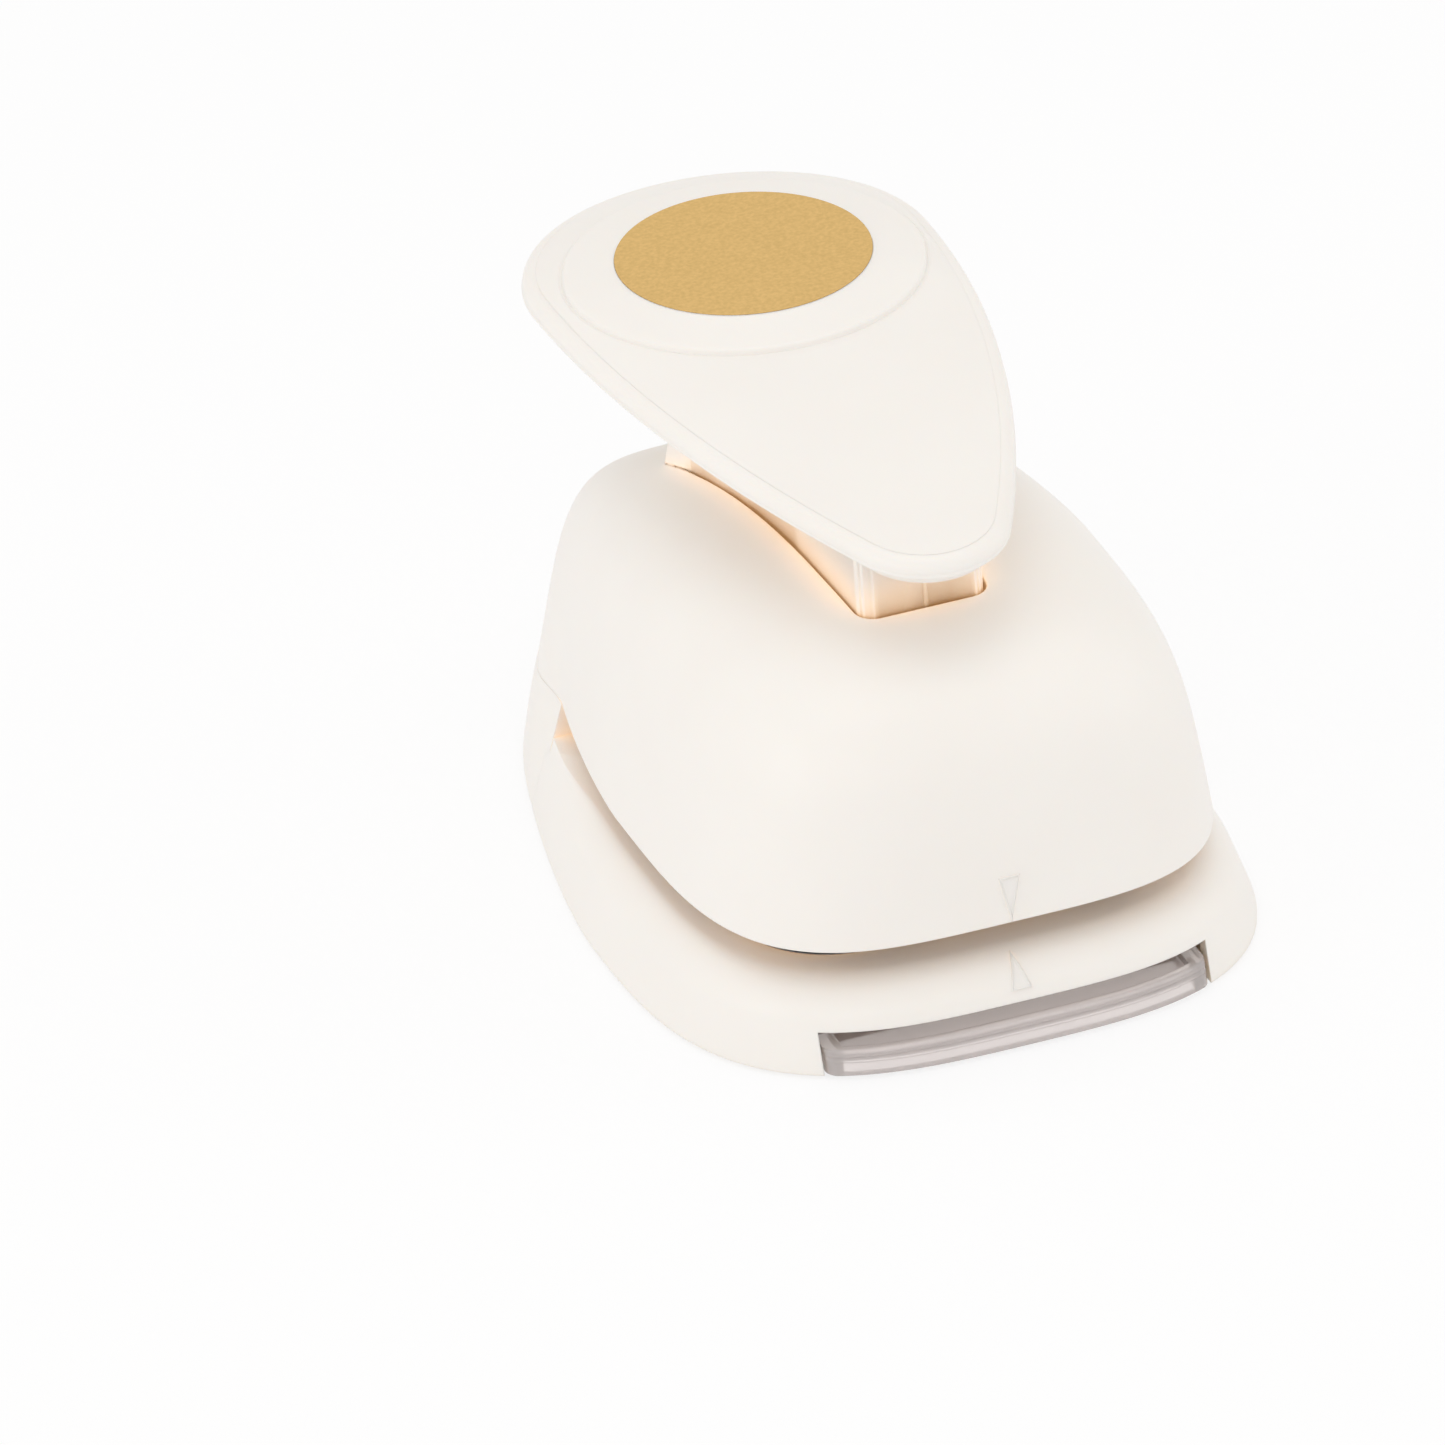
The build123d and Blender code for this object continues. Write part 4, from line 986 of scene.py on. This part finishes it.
def dish_skin():
    """Closed skin of the dish, from the middle of its top to the middle of its floor."""
    shares = [step / DISH_STEPS for step in range(1, DISH_STEPS)]
    drops = DISH_TOP_GAP, DISH_DEPTH + DISH_TOP_GAP
    top = [drawn_together(DISH_PROFILE[0][0], share, drops[0]) for share in reversed(shares)]
    side = [pad_ring(inset, height - DISH_TOP_GAP) for inset, height in DISH_PROFILE]
    floor = [drawn_together(DISH_PROFILE[-1][0], share, drops[1]) for share in shares]
    top_pole, floor_pole = [(0, DISH_MIDDLE_Y, rim_z(DISH_MIDDLE_Y) - drop) for drop in drops]
    points, faces = skin(top + side + floor, first_pole=top_pole, last_pole=floor_pole)
    return points, [tuple(reversed(face)) for face in faces]


def slab_over_stem():
    """Cutter that takes away all that lies above the stem."""
    points, faces = box_faces((-SLAB_HALF, -SLAB_REACH, 0), (SLAB_HALF, SLAB_REACH, SLAB_REACH))
    return [(x, y, plain_rim_z(y) - DISH_DEPTH - STEM_SLICE + z) for x, y, z in points], faces


def refit_stem(mesh):
    """Moves the stem's sides to follow the slot, and its straight top to meet the bowed dish."""
    front = (SLOT_HALF, SLOT_FRONT_Y)
    stem_xs, stem_ys = zip(front, *arc_through(*STEM_SIDE, SLOT_SIDE_STEPS))
    slot_xs, slot_ys = zip(front, *arc_through(*SLOT_SIDE, SLOT_SIDE_STEPS))
    bend_y, rear_y = STEM_SIDE[0][1], STEM_SIDE[-1][1]
    for vertex in mesh.vertices:
        y, z = vertex.co.y / MM - SHIFT_Y, vertex.co.z / MM
        share = min(max((y - bend_y) / (rear_y - bend_y), 0), 1)
        new_y = y + (SLOT_SIDE[-1][1] - rear_y) * share
        vertex.co.x *= np.interp(new_y, slot_ys, slot_xs) / np.interp(y, stem_ys, stem_xs)
        vertex.co.y = (new_y + SHIFT_Y) * MM
        if z > plain_rim_z(y) - DISH_DEPTH - 2 * STEM_SLICE:
            vertex.co.z = (rim_z(new_y) - DISH_DEPTH + STEM_INTO_DISH) * MM


lever = copied_node("lever_skin", "lever_shell", "lever")
cut(lever, [slab_over_stem()])
refit_stem(lever.data)
cut(lever, [dish_skin()], "UNION")
sharp_edges(lever)
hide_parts("lever_shell")


# Cross recesses of the screws

RECESS_ARM, RECESS_HALF, RECESS_DEEP, RECESS_OVER = 1.35, 0.3, 0.9, 1.0
CAP_SCREW_SHIFT = 2.7

# Body that each group of screws rides on, and whether its heads face up
SCREW_HEADS = {
    "cover_screws": ("body", False), "housing_screws": ("body", False), "die_screws": ("body", False),
    "bracket_screws": ("body", True), "cap_screws": ("lever", False), "cutter_screws": ("punch", True),
}


def patches_of(mesh):
    """Groups of connected vertices: one for each face of the solids, whose edges are split."""
    leader = list(range(len(mesh.vertices)))

    def root(index):
        while leader[index] != index:
            leader[index] = leader[leader[index]]
            index = leader[index]
        return index

    for edge in mesh.edges:
        first, second = (root(index) for index in edge.vertices)
        leader[first] = second
    groups = {}
    for vertex in mesh.vertices:
        groups.setdefault(root(vertex.index), []).append(vertex)
    return groups.values()


def cross(x, y, low, high):
    """Cutter for a cross recess."""
    arm = [(RECESS_HALF, -RECESS_HALF), (RECESS_ARM, -RECESS_HALF), (RECESS_ARM, RECESS_HALF)]
    outline = []
    for _ in range(4):
        outline += arm
        arm = [(-along, across) for across, along in arm]
    return prism([(x + across, y + along) for across, along in outline], low, high)


def follow_dish(patch):
    """Moves a patch of the pad's screws back and up to its place in the bowed dish."""
    y = sum(vertex.co.y for vertex in patch) / len(patch) / MM - SHIFT_Y
    rise = rim_z(y + CAP_SCREW_SHIFT) - plain_rim_z(y) - DISH_TOP_GAP
    for vertex in patch:
        vertex.co += Vector((0, CAP_SCREW_SHIFT * MM, rise * MM))


def recess(patch, head_up):
    """Cutter for a cross recess at the end of a patch that faces as the head does."""
    xs, ys, zs = zip(*[vertex.co / MM for vertex in patch])
    x, y = (min(xs) + max(xs)) / 2, (min(ys) + max(ys)) / 2 - SHIFT_Y
    if head_up:
        return cross(x, y, max(zs) - RECESS_DEEP, max(zs) + RECESS_OVER)
    return cross(x, y, min(zs) - RECESS_OVER, min(zs) + RECESS_DEEP)


for node, (body, head_up) in SCREW_HEADS.items():
    piece = copied_node(node + "_driven", node, body)
    patches = patches_of(piece.data)
    if node == "cap_screws":
        for patch in patches:
            follow_dish(patch)
    cut(piece, [recess(patch, head_up) for patch in patches])
    sharp_edges(piece)
    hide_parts(node)


# Floor and light

FLOOR_REACH = 4000.0
FLOOR_TONE, FLOOR_WHITE_SHARE = (0.96, 0.96, 0.97, 1), 0.8
WHITE = (1, 1, 1, 1)
AMBIENT_TONE, AMBIENT_STRENGTH = (1.0, 0.985, 0.965, 1), 0.80

# Place, width and power of each soft lamp, and the place that all look at, in Blender's metres
AIM = (0, 0, 0.04)
LAMPS = {
    "key": ((-0.45, -1.25, 0.72), 0.7, 1.2),
    "left_fill": ((-1.15, -0.25, 0.55), 0.8, 1.7),
    "right_fill": ((1.1, -0.35, 0.55), 0.8, 1.2),
    "top": ((0.0, 0.1, 1.3), 0.9, 2.0),
}


def floor_material():
    """White ground that keeps the object's soft shadow."""
    made = bpy.data.materials.new("studio_floor")
    made.use_nodes = True
    tree = made.node_tree
    tree.nodes.clear()
    out = tree.nodes.new("ShaderNodeOutputMaterial")
    path = tree.nodes.new("ShaderNodeLightPath")
    seen = tree.nodes.new("ShaderNodeMath")
    seen.operation = "MAXIMUM"
    through = tree.nodes.new("ShaderNodeMath")
    through.operation = "MAXIMUM"
    share = tree.nodes.new("ShaderNodeMath")
    share.operation = "MULTIPLY"
    share.inputs[1].default_value = FLOOR_WHITE_SHARE
    tree.links.new(path.outputs["Is Camera Ray"], seen.inputs[0])
    tree.links.new(path.outputs["Is Glossy Ray"], seen.inputs[1])
    tree.links.new(seen.outputs["Value"], through.inputs[0])
    tree.links.new(path.outputs["Is Transmission Ray"], through.inputs[1])
    tree.links.new(through.outputs["Value"], share.inputs[0])
    diffuse = tree.nodes.new("ShaderNodeBsdfDiffuse")
    diffuse.inputs["Color"].default_value = FLOOR_TONE
    glow = tree.nodes.new("ShaderNodeEmission")
    glow.inputs["Color"].default_value = WHITE
    glow.inputs["Strength"].default_value = 1.0
    mix = tree.nodes.new("ShaderNodeMixShader")
    tree.links.new(share.outputs["Value"], mix.inputs["Fac"])
    tree.links.new(diffuse.outputs["BSDF"], mix.inputs[1])
    tree.links.new(glow.outputs["Emission"], mix.inputs[2])
    tree.links.new(mix.outputs["Shader"], out.inputs["Surface"])
    return made


def studio_world():
    """Soft even light from all round, with a white backdrop for the camera."""
    world = bpy.data.worlds.new("studio")
    world.use_nodes = True
    tree = world.node_tree
    tree.nodes.clear()
    out = tree.nodes.new("ShaderNodeOutputWorld")
    path = tree.nodes.new("ShaderNodeLightPath")
    ambient = tree.nodes.new("ShaderNodeBackground")
    ambient.inputs["Color"].default_value = AMBIENT_TONE
    ambient.inputs["Strength"].default_value = AMBIENT_STRENGTH
    backdrop = tree.nodes.new("ShaderNodeBackground")
    backdrop.inputs["Color"].default_value = WHITE
    backdrop.inputs["Strength"].default_value = 1.0
    mix = tree.nodes.new("ShaderNodeMixShader")
    tree.links.new(path.outputs["Is Camera Ray"], mix.inputs["Fac"])
    tree.links.new(ambient.outputs["Background"], mix.inputs[1])
    tree.links.new(backdrop.outputs["Background"], mix.inputs[2])
    tree.links.new(mix.outputs["Shader"], out.inputs["Surface"])
    return world


def area_light(name, spot, size, power):
    """Soft square lamp that looks at the object."""
    lamp = bpy.data.lights.new(name, "AREA")
    lamp.shape, lamp.size, lamp.energy = "SQUARE", size, power
    made = bpy.data.objects.new(name, lamp)
    bpy.context.scene.collection.objects.link(made)
    made.location = spot
    made.rotation_euler = (Vector(AIM) - Vector(spot)).to_track_quat("-Z", "Y").to_euler()


corners = [(x * FLOOR_REACH, y * FLOOR_REACH, 0) for x, y in ((-1, -1), (1, -1), (1, 1), (-1, 1))]
ground = mesh_piece("studio_ground", corners, [(0, 1, 2, 3)], floor_material(), None, None, smooth=False)
bpy.context.scene.world = studio_world()
for name, (spot, size, power) in LAMPS.items():
    area_light(name, spot, size, power)


# Camera, fitted to the photograph's traced edges

CAMERA_SPOT = (-1050.8, -3076.8, 1840.3)
CAMERA_AZIMUTH, CAMERA_TILT, CAMERA_ROLL = math.radians(-18.40), math.radians(29.10), math.radians(-4.09)
PHOTO_WIDTH, FOCAL_PIXELS, SENSOR = 1445, 23196.0, 36.0
CAMERA_REACH_METRES = 20.0

forward = Vector((
    -math.sin(CAMERA_AZIMUTH) * math.cos(CAMERA_TILT),
    math.cos(CAMERA_AZIMUTH) * math.cos(CAMERA_TILT),
    -math.sin(CAMERA_TILT),
))
level_right = forward.cross(Vector((0, 0, 1))).normalized()
level_up = level_right.cross(forward)
right = level_right * math.cos(CAMERA_ROLL) + level_up * math.sin(CAMERA_ROLL)
up = right.cross(forward)
camera_data = bpy.data.cameras.new("camera")
camera_data.sensor_width = SENSOR
camera_data.lens = FOCAL_PIXELS * SENSOR / PHOTO_WIDTH
camera_data.clip_end = CAMERA_REACH_METRES
camera = bpy.data.objects.new("camera", camera_data)
bpy.context.scene.collection.objects.link(camera)
turn = Matrix((right, up, -forward)).transposed().to_4x4()
camera.matrix_world = Matrix.Translation(Vector(place(*CAMERA_SPOT))) @ turn
bpy.context.scene.camera = camera
bpy.context.scene.view_settings.view_transform = "Standard"
